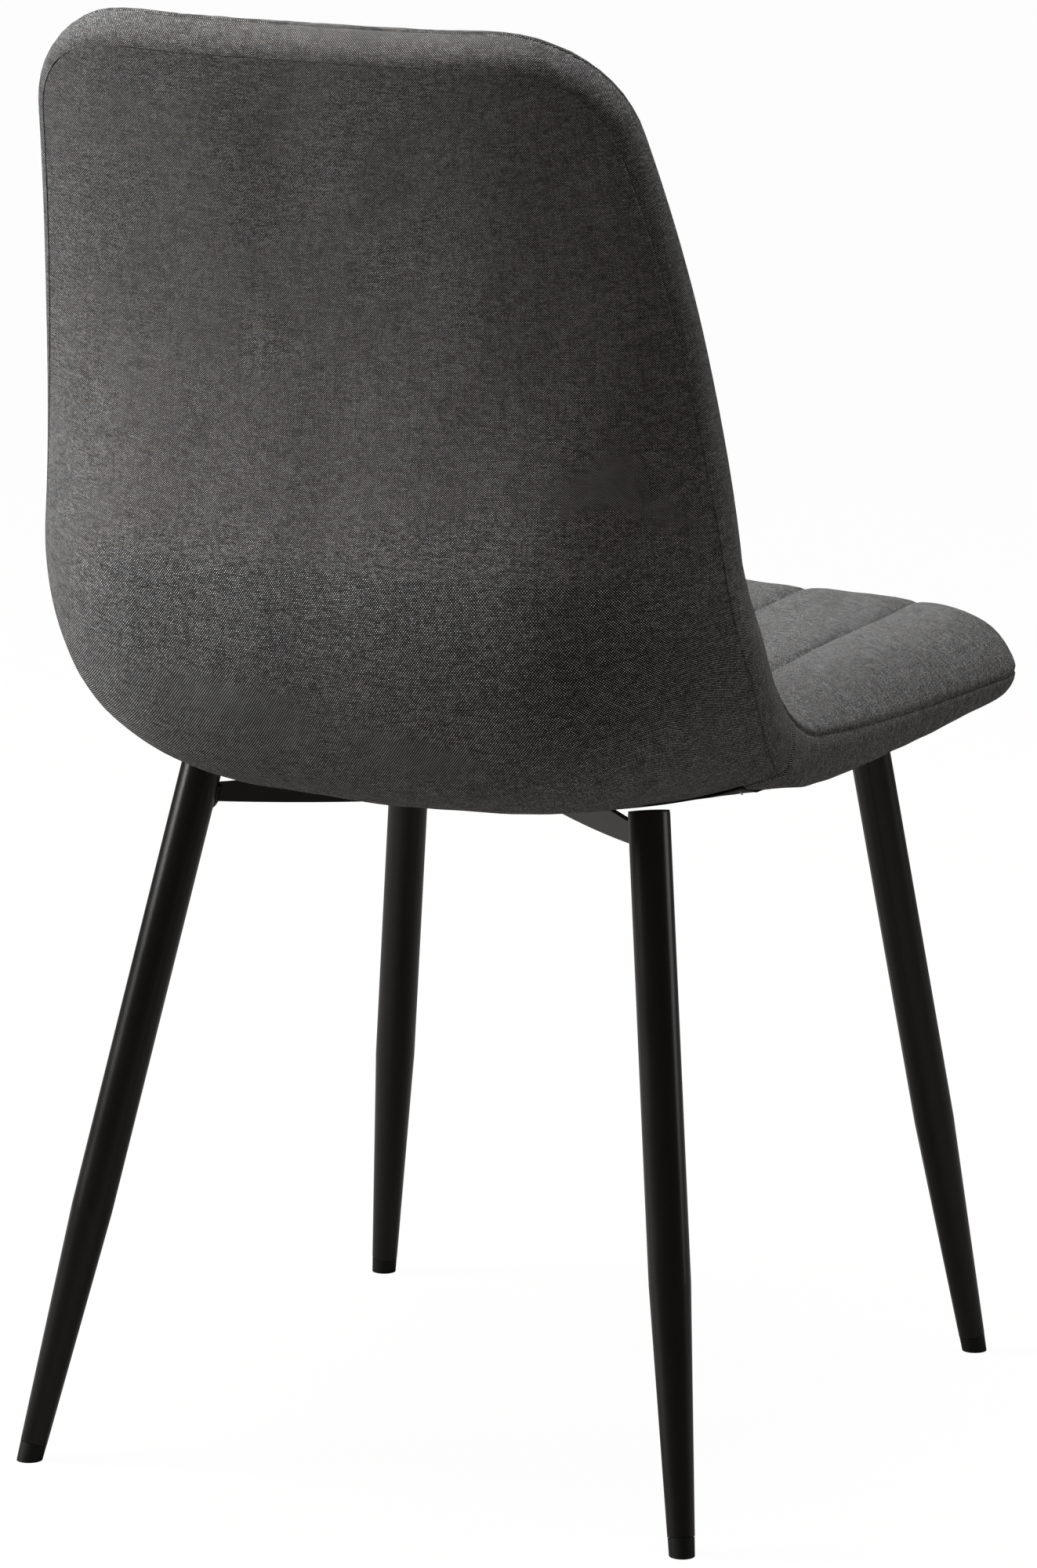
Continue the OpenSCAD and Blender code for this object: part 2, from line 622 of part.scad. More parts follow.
function top_edge(u) =
    let (ur = cross_u - tab_reach, uf = cross_u + tab_reach)
    rear_tab_z + (front_tab_z - rear_tab_z) * clamp((u - ur - 30) / (uf - ur - 60), 0, 1);
function low_edge(u) = plate_low + plate_rise * ((u - cross_u) / cross_u) ^ 2;

module plate_blank() {
    n = 24;
    span = diagonal_len;
    lower = [for (i = [0:n]) let (u = span * i / n) [u, low_edge(u)]];
    upper = [[span, top_edge(span)], [cross_u + tab_reach - 30, front_tab_z],
             [cross_u - tab_reach + 30, rear_tab_z], [0, rear_tab_z]];
    translate([rear_end.x, rear_end.y, 0]) rotate([0, 0, heading]) translate([0, plate_t / 2, 0])
        rotate([90, 0, 0]) linear_extrude(plate_t) polygon(concat(lower, upper));
}

// Half-lap notch at the crossing, from half height upwards or downwards.
module lap_notch(upwards) {
    z = (low_edge(cross_u) + top_edge(cross_u)) / 2;
    slot = plate_t + 2 * 0.2;
    turn = 180 - heading;
    translate([0, cross_y, upwards ? z - 0.1 : z - 99.9]) rotate([0, 0, turn])
        translate([-60, -slot / 2, 0]) cube([120, slot, 100]);
}

module leg_clearance(g, side) {
    mirror([side, 0, 0]) along_leg(g) rotate([0, 0, 180]) translate([0, 0, taper_len])
        cylinder(r = leg_r + 0.1, h = seat_h);
}

module cross_plate_a() {
    color(metal_colour)
    difference() {
        plate_blank();
        lap_notch(true);
        leg_clearance(rear_leg, 0);
        leg_clearance(front_leg, 1);
    }
}

module cross_plate_b() {
    color(metal_colour)
    mirror([1, 0, 0]) difference() {
        plate_blank();
        lap_notch(false);
        leg_clearance(rear_leg, 0);
        leg_clearance(front_leg, 1);
    }
}

module mounting_tab(p, screw, z, m) {
    turn = atan2(screw.y - p.y, screw.x - p.x);
    color(metal_colour)
    mirror([m, 0, 0]) translate([0, 0, z + 0.05]) difference() {
        union() {
            translate([screw.x, screw.y, 0]) cylinder(r = tab_r, h = tab_t);
            translate([p.x, p.y, 0]) rotate([0, 0, turn])
                translate([-6, -tab_r, 0]) cube([tab_side + 6, 2 * tab_r, tab_t]);
        }
        translate([screw.x, screw.y, -1]) cylinder(r = screw_d / 2 + hole_gap, h = tab_t + 2);
    }
}

// ---- fasteners -------------------------------------------------------------------------------

nut_r = 3.9;
flange_r = 9;
flange_t = 1.3;
head_h = 3.3;
washer_t = 1.2;
thread_gap = 0.1;
function nut_top(p) = low_over(p.x, p.y, flange_r + 0.5, board_high) - 0.4;
function base_z(p) = (p.y > cross_y ? rear_tab_z : front_tab_z) + 0.05;

module spacer_pads() {
    color(rubber_colour)
    for (p = screw_places) translate([p.x, p.y, base_z(p) + tab_t + 0.02]) difference() {
        cylinder(r = tab_r - 1, h = pad_t);
        translate([0, 0, -1]) cylinder(r = screw_d / 2 + hole_gap, h = pad_t + 2);
    }
}

module t_nuts() {
    color(steel_colour)
    for (p = screw_places) {
        z = nut_top(p);
        translate([p.x, p.y, 0]) difference() {
            union() {
                translate([0, 0, z - flange_t]) cylinder(r = flange_r, h = flange_t);
                translate([0, 0, z - 8]) cylinder(r = nut_r, h = 8);
            }
            translate([0, 0, z - 10]) cylinder(r = screw_d / 2 + thread_gap, h = 12);
        }
    }
}

module washers() {
    color(steel_colour)
    for (p = screw_places) translate([p.x, p.y, base_z(p) - washer_t - 0.02]) difference() {
        cylinder(r = screw_d, h = washer_t);
        translate([0, 0, -1]) cylinder(r = screw_d / 2 + 0.2, h = washer_t + 2);
    }
}

// Button-head screw with a hexagon socket, driven upwards.
module mounting_screws() {
    head_r = screw_d * 0.9;
    color(steel_colour)
    for (p = screw_places) {
        z = base_z(p) - washer_t - 0.04;
        translate([p.x, p.y, 0]) difference() {
            union() {
                translate([0, 0, z]) cylinder(r = screw_d / 2, h = nut_top(p) - 0.2 - z);
                translate([0, 0, z - head_h / 2]) cylinder(r = head_r, h = head_h / 2);
                translate([0, 0, z - head_h]) cylinder(r1 = head_r * 0.72, r2 = head_r, h = head_h / 2);
            }
            translate([0, 0, z - head_h - 1]) cylinder(r = screw_d * 0.36, h = 3, $fn = 6);
        }
    }
}

// ---- assembly --------------------------------------------------------------------------------

shell_board();
inner_foam();
outer_foam();
inner_cover();
outer_cover();
seat_side_band();
dust_cover();
dust_cover_staples();
cross_plate_a();
cross_plate_b();
mounting_tab(front_tab, front_screw, front_tab_z, 1);  // mounting_tab_front_left
mounting_tab(front_tab, front_screw, front_tab_z, 0);  // mounting_tab_front_right
mounting_tab(rear_tab, rear_screw, rear_tab_z, 0);  // mounting_tab_rear_left
mounting_tab(rear_tab, rear_screw, rear_tab_z, 1);  // mounting_tab_rear_right
spacer_pads();
mounting_screws();
washers();
t_nuts();
leg(front_leg);  // leg_front_left
mirror([1, 0, 0]) leg(front_leg);  // leg_front_right
leg(rear_leg);  // leg_rear_left
mirror([1, 0, 0]) leg(rear_leg);  // leg_rear_right
foot_glide(front_leg);  // foot_glide_front_left
mirror([1, 0, 0]) foot_glide(front_leg);  // foot_glide_front_right
foot_glide(rear_leg);  // foot_glide_rear_left
mirror([1, 0, 0]) foot_glide(rear_leg);  // foot_glide_rear_right
tube_top_plugs();
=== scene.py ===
"""Dining chair: the upholstery, frame details and finishes, built round the packed CAD frame.

Metres, +Z up. The sitter faces -Y, and the sitter's left is +X.
"""

from __future__ import annotations

import logging
import math
from dataclasses import dataclass, field
from enum import Enum
from functools import cached_property
from typing import Callable, Sequence

import bpy
import numpy as np
from mathutils import Matrix, Vector


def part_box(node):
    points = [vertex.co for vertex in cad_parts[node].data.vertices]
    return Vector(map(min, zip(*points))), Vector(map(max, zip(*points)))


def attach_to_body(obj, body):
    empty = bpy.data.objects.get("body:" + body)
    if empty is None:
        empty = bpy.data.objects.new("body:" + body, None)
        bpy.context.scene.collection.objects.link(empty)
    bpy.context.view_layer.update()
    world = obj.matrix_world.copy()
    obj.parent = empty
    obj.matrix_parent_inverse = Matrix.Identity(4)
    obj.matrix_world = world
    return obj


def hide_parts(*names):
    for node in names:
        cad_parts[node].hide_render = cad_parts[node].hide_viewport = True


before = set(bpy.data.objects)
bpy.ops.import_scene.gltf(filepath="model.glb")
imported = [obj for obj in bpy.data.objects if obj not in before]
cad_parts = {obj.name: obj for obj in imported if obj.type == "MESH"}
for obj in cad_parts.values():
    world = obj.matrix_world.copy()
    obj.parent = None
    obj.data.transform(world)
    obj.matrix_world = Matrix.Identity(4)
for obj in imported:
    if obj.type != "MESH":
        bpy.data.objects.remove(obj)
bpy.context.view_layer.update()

Array = np.ndarray
BODY = "root"
LEAST_INSET = 1e-6
NUDGE = 0.001
CLOTH_MAP = "cloth"
log = logging.getLogger("dining_chair")


class Slot(Enum):
    """Material slots of the packed record."""

    FABRIC = "fabric"
    FOAM = "foam"
    BOARD = "board"
    FRAME = "frame_black"
    GLIDE = "glide_plastic"
    PAD = "pad_rubber"
    ZINC = "zinc_steel"
    DUST = "dust_cloth"


# ---- shader graphs ----


def math_method(operation: str, about: str, reflected: bool = False) -> Callable[..., "Value"]:
    """Makes a method that adds one Math node.

    Args:
        operation: The Math node's operation.
        about: The method's docstring.
        reflected: True where the other term comes first.

    Returns:
        The method.
    """

    def method(value: "Value", *others: "Value | float") -> "Value":
        terms = (*others, value) if reflected else (value, *others)
        sockets = dict(enumerate(terms))
        return value.graph.value("ShaderNodeMath", {"operation": operation}, sockets)

    method.__doc__ = about
    return method


class Value:
    """A number socket of a shader graph that takes part in Python arithmetic."""

    def __init__(self, graph: "ShaderGraph", socket: bpy.types.NodeSocket) -> None:
        """Wraps a socket.

        Args:
            graph: The graph that new Math nodes go into.
            socket: The output socket that holds the number.
        """
        self.graph = graph
        self.socket = socket

    __add__ = __radd__ = math_method("ADD", "Sum.")
    __sub__ = math_method("SUBTRACT", "Difference.")
    __rsub__ = math_method("SUBTRACT", "Reflected difference.", reflected=True)
    __mul__ = __rmul__ = math_method("MULTIPLY", "Product.")
    __truediv__ = math_method("DIVIDE", "Quotient.")
    __pow__ = math_method("POWER", "Power.")
    __mod__ = math_method("FLOORED_MODULO", "Remainder that stays positive below zero.")
    __gt__ = math_method("GREATER_THAN", "1 where this is more than the other, else 0.")
    floor = math_method("FLOOR", "Whole part.")
    sine = math_method("SINE", "Sine of an angle in radians.")
    absolute = math_method("ABSOLUTE", "Absolute value.")
    at_most = math_method("MINIMUM", "The smaller of the two.")
    at_least = math_method("MAXIMUM", "The larger of the two.")

    def clamped(self, low: float = 0.0, high: float = 1.0) -> "Value":
        """The value kept between two limits."""
        return self.at_most(high).at_least(low)


class ShaderGraph:
    """A new material and the nodes in it."""

    def __init__(self, name: str) -> None:
        """Starts a material with an output and a Principled shader.

        Args:
            name: The material's name.
        """
        self.material = bpy.data.materials.new(name)
        self.material.use_nodes = True
        self.tree = self.material.node_tree
        self.tree.nodes.clear()
        self.shader = self.node("ShaderNodeBsdfPrincipled")
        output = self.node("ShaderNodeOutputMaterial")
        self.tree.links.new(self.shader.outputs["BSDF"], output.inputs["Surface"])

    def node(
        self,
        kind: str,
        settings: dict[str, object] | None = None,
        sockets: dict[str | int, object] | None = None,
    ) -> bpy.types.Node:
        """Adds a node.

        Args:
            kind: The node's type.
            settings: Its properties, set first.
            sockets: Values or links of its input sockets, by name or number.

        Returns:
            The new node.
        """
        made = self.tree.nodes.new(kind)
        for name, value in (settings or {}).items():
            setattr(made, name, value)
        for key, value in (sockets or {}).items():
            self.feed(made.inputs[key], value)
        return made

    def feed(self, socket: bpy.types.NodeSocket, value: object) -> None:
        """Sets a socket to a constant, or links it to a Value or a socket."""
        source = value.socket if isinstance(value, Value) else value
        if isinstance(source, bpy.types.NodeSocket):
            self.tree.links.new(source, socket)
        elif isinstance(source, tuple) and len(source) == 3 and len(socket.default_value) == 4:
            socket.default_value = (*source, 1.0)
        else:
            socket.default_value = source

    def value(self, kind: str, settings: dict | None, sockets: dict, out: int | str = 0) -> Value:
        """Adds a node and wraps one of its outputs for arithmetic."""
        return Value(self, self.node(kind, settings, sockets).outputs[out])

    def vector(
        self, x: Value | float, y: Value | float, z: Value | float = 0.0
    ) -> bpy.types.NodeSocket:
        """Joins three numbers into a vector."""
        return self.node("ShaderNodeCombineXYZ", None, {0: x, 1: y, 2: z}).outputs[0]

    def parts(self, vector: bpy.types.NodeSocket) -> tuple[Value, Value, Value]:
        """Splits a vector into its three numbers."""
        split = self.node("ShaderNodeSeparateXYZ", None, {0: vector})
        return tuple(Value(self, split.outputs[i]) for i in range(3))

    def object_place(self) -> bpy.types.NodeSocket:
        """Place on the piece, in metres."""
        return self.node("ShaderNodeTexCoord").outputs["Object"]

    def cloth_place(self) -> bpy.types.NodeSocket:
        """Place on the flat cloth, in metres, from the piece's own UV map."""
        return self.node("ShaderNodeUVMap", {"uv_map": CLOTH_MAP}).outputs[0]

    def noise(self, vector: object, scale: float, detail: float = 2.0, rough: float = 0.5) -> Value:
        """Smooth noise from 0 to 1 at a place."""
        sockets = {"Vector": vector, "Scale": scale, "Detail": detail, "Roughness": rough}
        return self.value("ShaderNodeTexNoise", None, sockets)

    def chance(self, vector: object) -> Value:
        """Random number from 0 to 1 for each whole-numbered place."""
        return self.value("ShaderNodeTexWhiteNoise", {"noise_dimensions": "3D"}, {"Vector": vector})

    def mix(self, share: object, first: object, second: object) -> bpy.types.NodeSocket:
        """Mixes two colours; share 0 gives the first."""
        made = self.node("ShaderNodeMix", {"data_type": "RGBA"}, {0: share, 6: first, 7: second})
        return made.outputs[2]

    def scaled(self, colour: object, factor: object) -> bpy.types.NodeSocket:
        """A colour times a number."""
        made = self.node("ShaderNodeVectorMath", {"operation": "SCALE"}, {0: colour, 3: factor})
        return made.outputs[0]

    def scaled_each(self, colour: object, factors: tuple) -> bpy.types.NodeSocket:
        """A colour times another, channel by channel."""
        sockets = {0: colour, 1: factors}
        return self.node("ShaderNodeVectorMath", {"operation": "MULTIPLY"}, sockets).outputs[0]

    def bump(self, height: Value, depth: float, strength: float = 1.0) -> None:
        """Gives the shader a bumped normal of a height in 0 to 1 over a depth in metres."""
        sockets = {"Strength": strength, "Distance": depth, "Height": height}
        made = self.node("ShaderNodeBump", None, sockets)
        self.tree.links.new(made.outputs[0], self.shader.inputs["Normal"])

    def surface(self, **values: object) -> bpy.types.Material:
        """Sets the shader's sockets, by name with _ for a space, and gives the material."""
        for name, value in values.items():
            self.feed(self.shader.inputs[name.replace("_", " ")], value)
        return self.material


# ---- finishes ----


@dataclass(frozen=True)
class WovenFabric:
    """Charcoal melange: plain weave of light weft over black warp, with slubs and flecks."""

    pitch: float = 0.00068
    weft: tuple = (0.55, 0.551, 0.552)
    warp: tuple = (0.0055, 0.0052, 0.005)
    thread_height: float = 0.00024
    slub: float = 0.5
    mottle: float = 0.12
    streak: float = 0.45
    shade_power: float = 2.2
    shade_gain: float = 1.3
    shade_floor: float = 0.02
    warm: tuple = (1.07, 0.99, 0.92)
    cool: tuple = (0.93, 1.0, 1.07)

    def material(self) -> bpy.types.Material:
        """Builds the weave on the cloth's own flat map."""
        g = ShaderGraph("charcoal_weave")
        across, along, _ = g.parts(g.cloth_place())
        place = g.object_place()
        waver = g.noise(place, 38.0, 1.0) - 0.5
        u = across / self.pitch + waver * 0.5
        v = along / self.pitch + waver * 0.4
        column, row = u.floor(), v.floor()
        in_column, in_row = u - column, v - row
        weft_over = (column + row) % 2.0
        bow_u, bow_v = (in_column * math.pi).sine(), (in_row * math.pi).sine()
        weft_round = bow_v * (bow_u * 0.5 + 0.5)
        warp_round = bow_u * (bow_v * 0.5 + 0.5)
        height = weft_over * weft_round + (1.0 - weft_over) * warp_round
        weft_fibre = g.chance(g.vector((u / 5.0 + g.chance(g.vector(row, 3.0)) * 9.0).floor(), row))
        warp_fibre = g.chance(
            g.vector(column, (v / 9.0 + g.chance(g.vector(column, 5.0)) * 9.0).floor())
        )
        weft_slub = g.noise(g.vector(across * 90.0, row * 7.31), 1.0, 1.0) - 0.5
        warp_slub = g.noise(g.vector(column * 7.31, along * 40.0, 4.0), 1.0, 1.0) - 0.5
        weft_tone = weft_fibre * 0.6 + weft_slub * (self.slub * 2.0) + 0.7
        cell = g.chance(g.vector(column, row, 2.0)) * 0.9 + 0.55
        warp_tone = (warp_fibre > 0.9) * 8.0 + warp_fibre * 1.2 + warp_slub * 3.0 + 1.0
        weft = g.scaled(self.weft, weft_tone.clamped(0.1, 1.9))
        warp = g.scaled(self.warp, warp_tone.clamped(0.2, 12.0))
        thread = g.mix(weft_over, warp, weft)
        tint = g.noise(place, 260.0, 1.0)
        thread = g.mix(tint, g.scaled_each(thread, self.warm), g.scaled_each(thread, self.cool))
        mottle = (g.noise(place, 14.0, 3.0) - 0.5) * self.mottle + 1.0
        streak = g.noise(g.vector(across * 900.0, along * 14.0, 8.0), 1.0, 1.0) - 0.5
        streak = streak * self.streak + 1.0
        # Painted shade: each thread's colour darkens from its crown into the gaps between threads.
        # cell, mottle and streak then add random tone.
        shade = height**self.shade_power * self.shade_gain + self.shade_floor
        shade = shade * cell * mottle * streak
        g.bump(height, self.thread_height, 0.6)
        return g.surface(
            Base_Color=g.scaled(thread, shade),
            Roughness=0.95,
            Sheen_Weight=0.03,
            Sheen_Roughness=0.5,
            Specular_IOR_Level=0.15,
        )


@dataclass(frozen=True)
class SewingThread:
    """Twisted polyester thread, a little darker than the cloth."""

    colour: tuple = (0.035, 0.035, 0.036)
    twist: float = 0.0009

    def material(self) -> bpy.types.Material:
        """Builds a fine diagonal twist."""
        g = ShaderGraph("sewing_thread")
        x, y, z = g.parts(g.object_place())
        ply = ((x + y + z) * (math.tau / self.twist)).sine() * 0.5 + 0.5
        g.bump(ply, 0.00008)
        # Painted shade: the thread's colour darkens in the grooves of the twist, following the ply
        # height.
        colour = g.scaled(self.colour, ply * 0.7 + 0.6)
        return g.surface(Base_Color=colour, Roughness=0.6, Sheen_Weight=0.1)


@dataclass(frozen=True)
class PowderCoat:
    """Satin black powder coat with a fine orange peel and slightly lighter patches."""

    colour: tuple = (0.0042, 0.0038, 0.0034)
    rubbed: tuple = (0.008, 0.0072, 0.0062)
    peel_scale: float = 1500.0

    def material(self) -> bpy.types.Material:
        """Builds the coat with its peel and its variation in gloss."""
        g = ShaderGraph("black_powder_coat")
        place = g.object_place()
        peel = g.noise(place, self.peel_scale, 2.0)
        patch = g.noise(place, 22.0, 4.0, 0.6)
        speck = g.noise(place, 5200.0, 1.0)
        colour = g.mix((patch * 0.9 + speck * 0.25 - 0.3).clamped(), self.colour, self.rubbed)
        g.bump(peel * 0.8 + speck * 0.2, 0.00004, 0.6)
        return g.surface(
            Base_Color=colour,
            Roughness=patch * 0.1 + 0.2,
            Specular_IOR_Level=0.4,
        )


@dataclass(frozen=True)
class MouldedPlastic:
    """Black moulded plastic with a spark-eroded skin and fine scuffs."""

    colour: tuple = (0.005, 0.0048, 0.0045)
    roughness: float = 0.5
    grain: float = 2600.0

    def material(self) -> bpy.types.Material:
        """Builds the skin."""
        g = ShaderGraph("glide_plastic")
        place = g.object_place()
        x, y, z = g.parts(place)
        skin = g.noise(place, self.grain, 2.0)
        scuff = g.noise(g.vector(x * 90.0, y * 90.0, z * 900.0), 1.0, 3.0)
        colour = g.scaled(self.colour, scuff * 0.9 + 0.55)
        g.bump(skin, 0.00005, 0.7)
        return g.surface(
            Base_Color=colour,
            Roughness=skin * 0.15 + scuff * 0.12 + self.roughness - 0.13,
            Specular_IOR_Level=0.25,
        )


@dataclass(frozen=True)
class ZincPlate:
    """Bright zinc plate with soft crystalline patches and handling marks."""

    colour: tuple = (0.58, 0.59, 0.61)

    def material(self) -> bpy.types.Material:
        """Builds the plate."""
        g = ShaderGraph("zinc_plate")
        place = g.object_place()
        patch = g.noise(place, 260.0, 3.0)
        scratch = g.noise(place, 2200.0, 2.0)
        g.bump(scratch, 0.00002, 0.5)
        return g.surface(
            Base_Color=g.scaled(self.colour, patch * 0.5 + 0.7),
            Metallic=1.0,
            Roughness=patch * 0.22 + scratch * 0.12 + 0.2,
        )


@dataclass(frozen=True)
class NonWoven:
    """Black spun-bonded cloth: matted fibres with a grid of pressed dots."""

    colour: tuple = (0.016, 0.016, 0.017)
    dot_pitch: float = 0.0021
    dot_edge: float = 0.72

    def material(self) -> bpy.types.Material:
        """Builds the fibres and the dots."""
        g = ShaderGraph("dust_cloth")
        across, along, _ = g.parts(g.cloth_place())
        place = g.object_place()
        fibres = g.noise(place, 900.0, 4.0, 0.7)
        clouds = g.noise(place, 45.0, 3.0)
        wave = math.tau / self.dot_pitch
        dots = (across * wave).sine() * (along * wave).sine()
        pressed = (dots.absolute() > self.dot_edge) * 1.0
        g.bump(fibres * 0.8 - pressed * 0.8 + 0.6, 0.00015, 0.8)
        tone = (fibres * 0.9 + clouds * 0.7 + 0.35) * (1.0 - pressed * 0.35)
        return g.surface(Base_Color=g.scaled(self.colour, tone), Roughness=0.9 - pressed * 0.25)


@dataclass(frozen=True)
class Plywood:
    """Moulded beech plywood: long grain on the faces and thin plies at the edge."""

    light: tuple = (0.50, 0.34, 0.19)
    dark: tuple = (0.33, 0.20, 0.10)
    ply: float = 0.0014

    def material(self) -> bpy.types.Material:
        """Builds the grain."""
        g = ShaderGraph("beech_plywood")
        x, y, z = g.parts(g.object_place())
        grain = g.noise(g.vector(x * 160.0, y * 9.0, z * 9.0), 1.0, 4.0, 0.6)
        pores = g.noise(g.vector(x * 1500.0, y * 60.0, z * 60.0), 1.0, 2.0)
        plies = ((z / self.ply).floor() % 2.0) * 0.12
        tone = (grain * 0.9 + pores * 0.3 - 0.2 + plies).clamped()
        g.bump(grain * 0.6 + pores * 0.4, 0.0001)
        wood = g.mix(tone, self.light, self.dark)
        return g.surface(Base_Color=wood, Roughness=grain * 0.2 + 0.55)


@dataclass(frozen=True)
class Rubber:
    """Black rubber with a dusty bloom."""

    colour: tuple = (0.018, 0.018, 0.018)

    def material(self) -> bpy.types.Material:
        """Builds the bloom."""
        g = ShaderGraph("pad_rubber")
        place = g.object_place()
        bloom, grit = g.noise(place, 130.0, 4.0), g.noise(place, 2400.0, 2.0)
        g.bump(grit, 0.00006)
        return g.surface(Base_Color=g.scaled(self.colour, bloom + 0.6), Roughness=bloom * 0.2 + 0.7)


@dataclass(frozen=True)
class Finishes:
    """Every finish of the chair, built once."""

    fabric: bpy.types.Material
    thread: bpy.types.Material
    coat: bpy.types.Material
    plastic: bpy.types.Material
    zinc: bpy.types.Material
    dust: bpy.types.Material
    plywood: bpy.types.Material
    rubber: bpy.types.Material

    @classmethod
    def build(cls) -> "Finishes":
        """Builds all the materials."""
        kinds = (
            WovenFabric,
            SewingThread,
            PowderCoat,
            MouldedPlastic,
            ZincPlate,
            NonWoven,
            Plywood,
            Rubber,
        )
        return cls(*(kind().material() for kind in kinds))


# ---- the shell's shape ----


def soft_step(value: Array) -> Array:
    """Smooth rise from 0 to 1 as the value goes from 0 to 1."""
    t = np.clip(value, 0.0, 1.0)
    return t * t * (3.0 - 2.0 * t)


def bell(value: Array) -> Array:
    """Smooth hump of height 1 at 0 that falls away at about 1."""
    return np.exp(-np.square(value))


@dataclass(frozen=True)
class ShellForm:
    """The shell's formula: a dished surface on a centre line, with heights over and under it."""

    front_y: float = -0.2877
    seat_height: float = 0.445
    spans: tuple = (0.065, 0.278, 0.153, 0.075, 0.322)
    slopes: tuple = (3.5, -1.0, -1.0, 54.0, 87.0, 65.0)
    half_widths: tuple = (0.2355, 0.224, 0.217, 0.206, 0.178)
    dishes: tuple = (-0.007, 0.017, 0.061, 0.0405, 0.022)
    dish_powers: tuple = (2.5, 2.8)
    front_corner: float = 0.075
    top_corner: float = 0.070
    corner_power: float = 2.25
    front_bulge: float = 0.0175
    top_bulge: float = 0.0045
    bulge_reach: float = 0.2
    inner_rim_r: float = 0.018
    outer_rim_r: float = 0.012
    inner_crown_r: float = 0.045
    outer_crown_r: float = 0.112
    inner_rims: tuple = (0.012, 0.0115, 0.012, 0.013, 0.0095)
    outer_rims: tuple = (0.013, 0.031, 0.028, 0.0225, 0.019)
    outer_crowns: tuple = (-0.001, -0.007, 0.044, 0.002, 0.004)
    thicknesses: tuple = (0.0475, 0.0455, 0.046, 0.042, 0.0365)
    cross_seam_back: float = 0.049

    @cached_property
    def knots(self) -> Array:
        """Lengths at which the centre line changes from one arc to the next."""
        return np.concatenate([[0.0], np.cumsum(self.spans)])

    @property
    def length(self) -> float:
        """Whole length of the centre line."""
        return float(self.knots[-1])

    @cached_property
    def stations(self) -> Array:
        """Lengths at which the section's sizes are given."""
        bend, above = self.knots[2], self.knots[3]
        return np.array([0.0, bend, above, (above + self.length) / 2, self.length])

    @property
    def cross_seam(self) -> float:
        """Length at which the seam crosses under the shell."""
        return float(self.knots[2]) + self.cross_seam_back

    @cached_property
    def starts(self) -> Array:
        """Start (y, z) of every arc of the centre line."""
        places = [np.array([self.front_y, self.seat_height])]
        for i, span in enumerate(self.spans):
            places.append(places[-1] + self._along_arc(i, np.array([span]))[0])
        return np.array(places)

    def _along_arc(self, i: Array | int, u: Array) -> Array:
        """Offset (y, z) from the start of arc i after a length u."""
        angles = np.radians(self.slopes)
        first = angles[i]
        turn = angles[np.asarray(i) + 1] - first
        span = np.asarray(self.spans)[i]
        straight = np.abs(turn) < 1e-9
        radius = span / np.where(straight, 1.0, turn)
        now = first + turn * u / span
        y = np.where(straight, u * np.cos(first), radius * (np.sin(now) - np.sin(first)))
        z = np.where(straight, u * np.sin(first), radius * (np.cos(first) - np.cos(now)))
        return np.stack([y, z], -1)

    def centre_line(self, s: Array) -> tuple[Array, Array, Array]:
        """Centre line at lengths s, straight past its ends.

        Args:
            s: Lengths from the front end.

        Returns:
            The y, z and slope in radians at each length.
        """
        t = np.clip(s, 0.0, self.length)
        i = np.clip(np.searchsorted(self.knots, t, side="right") - 1, 0, len(self.spans) - 1)
        angles = np.radians(self.slopes)
        u = t - self.knots[i]
        slope = angles[i] + (angles[i + 1] - angles[i]) * u / np.asarray(self.spans)[i]
        place = self.starts[i] + self._along_arc(i, u)
        y, z = place[..., 0] + (s - t) * np.cos(slope), place[..., 1] + (s - t) * np.sin(slope)
        return y, z, slope

    def at_station(self, values: Sequence[float], s: Array) -> Array:
        """Smooth value at lengths s from one value at each station."""
        x, y = self.stations, np.asarray(values)
        rise = np.empty(len(x))
        rise[1:-1] = (y[2:] - y[:-2]) / (x[2:] - x[:-2])
        rise[0] = (y[1] - y[0]) / (x[1] - x[0])
        rise[-1] = (y[-1] - y[-2]) / (x[-1] - x[-2])
        i = np.clip(np.searchsorted(x, s, side="right") - 1, 0, len(x) - 2)
        span = x[i + 1] - x[i]
        t = (s - x[i]) / span
        return (
            (2 * t**3 - 3 * t**2 + 1) * y[i]
            + (t**3 - 2 * t**2 + t) * span * rise[i]
            + (3 * t**2 - 2 * t**3) * y[i + 1]
            + (t**3 - t**2) * span * rise[i + 1]
        )

    def _corner_cut(self, t: Array) -> Array:
        """Share of a corner's radius by which its outline lies in at t along it."""
        power = self.corner_power
        return 1.0 - np.power(1.0 - np.power(np.clip(t, 0.0, 1.0), power), 1.0 / power)

    def half_width(self, s: Array, inset: float = 0.0) -> Array:
        """Half width of the outline at lengths s, moved in by inset all round."""
        front, top = self.front_corner - inset, self.top_corner - inset
        return (
            self.at_station(self.half_widths, s)
            - inset
            - front * self._corner_cut((self.front_corner - s) / front)
            - top * self._corner_cut((s - self.length + self.top_corner) / top)
        )

    def edge_distance(self, s: Array, x: Array) -> Array:
        """Distance in from the outline."""
        w, front, top = self.at_station(self.half_widths, s), self.front_corner, self.top_corner
        power = self.corner_power

        def round_corner(a: Array, b: Array, r: float) -> Array:
            a, b = np.clip(a / r, 0, None), np.clip(b / r, 0, None)
            return r * (1 - np.power(a**power + b**power, 1 / power))

        d = np.minimum(np.minimum(w - np.abs(x), s), self.length - s)
        side = np.abs(x) - (w - front)
        d = np.where((s < front) & (side > 0), round_corner(front - s, side, front), d)
        side, end = np.abs(x) - (w - top), s - (self.length - top)
        d = np.where((end > 0) & (side > 0), round_corner(end, side, top), d)
        return np.clip(d, 0.0, None)

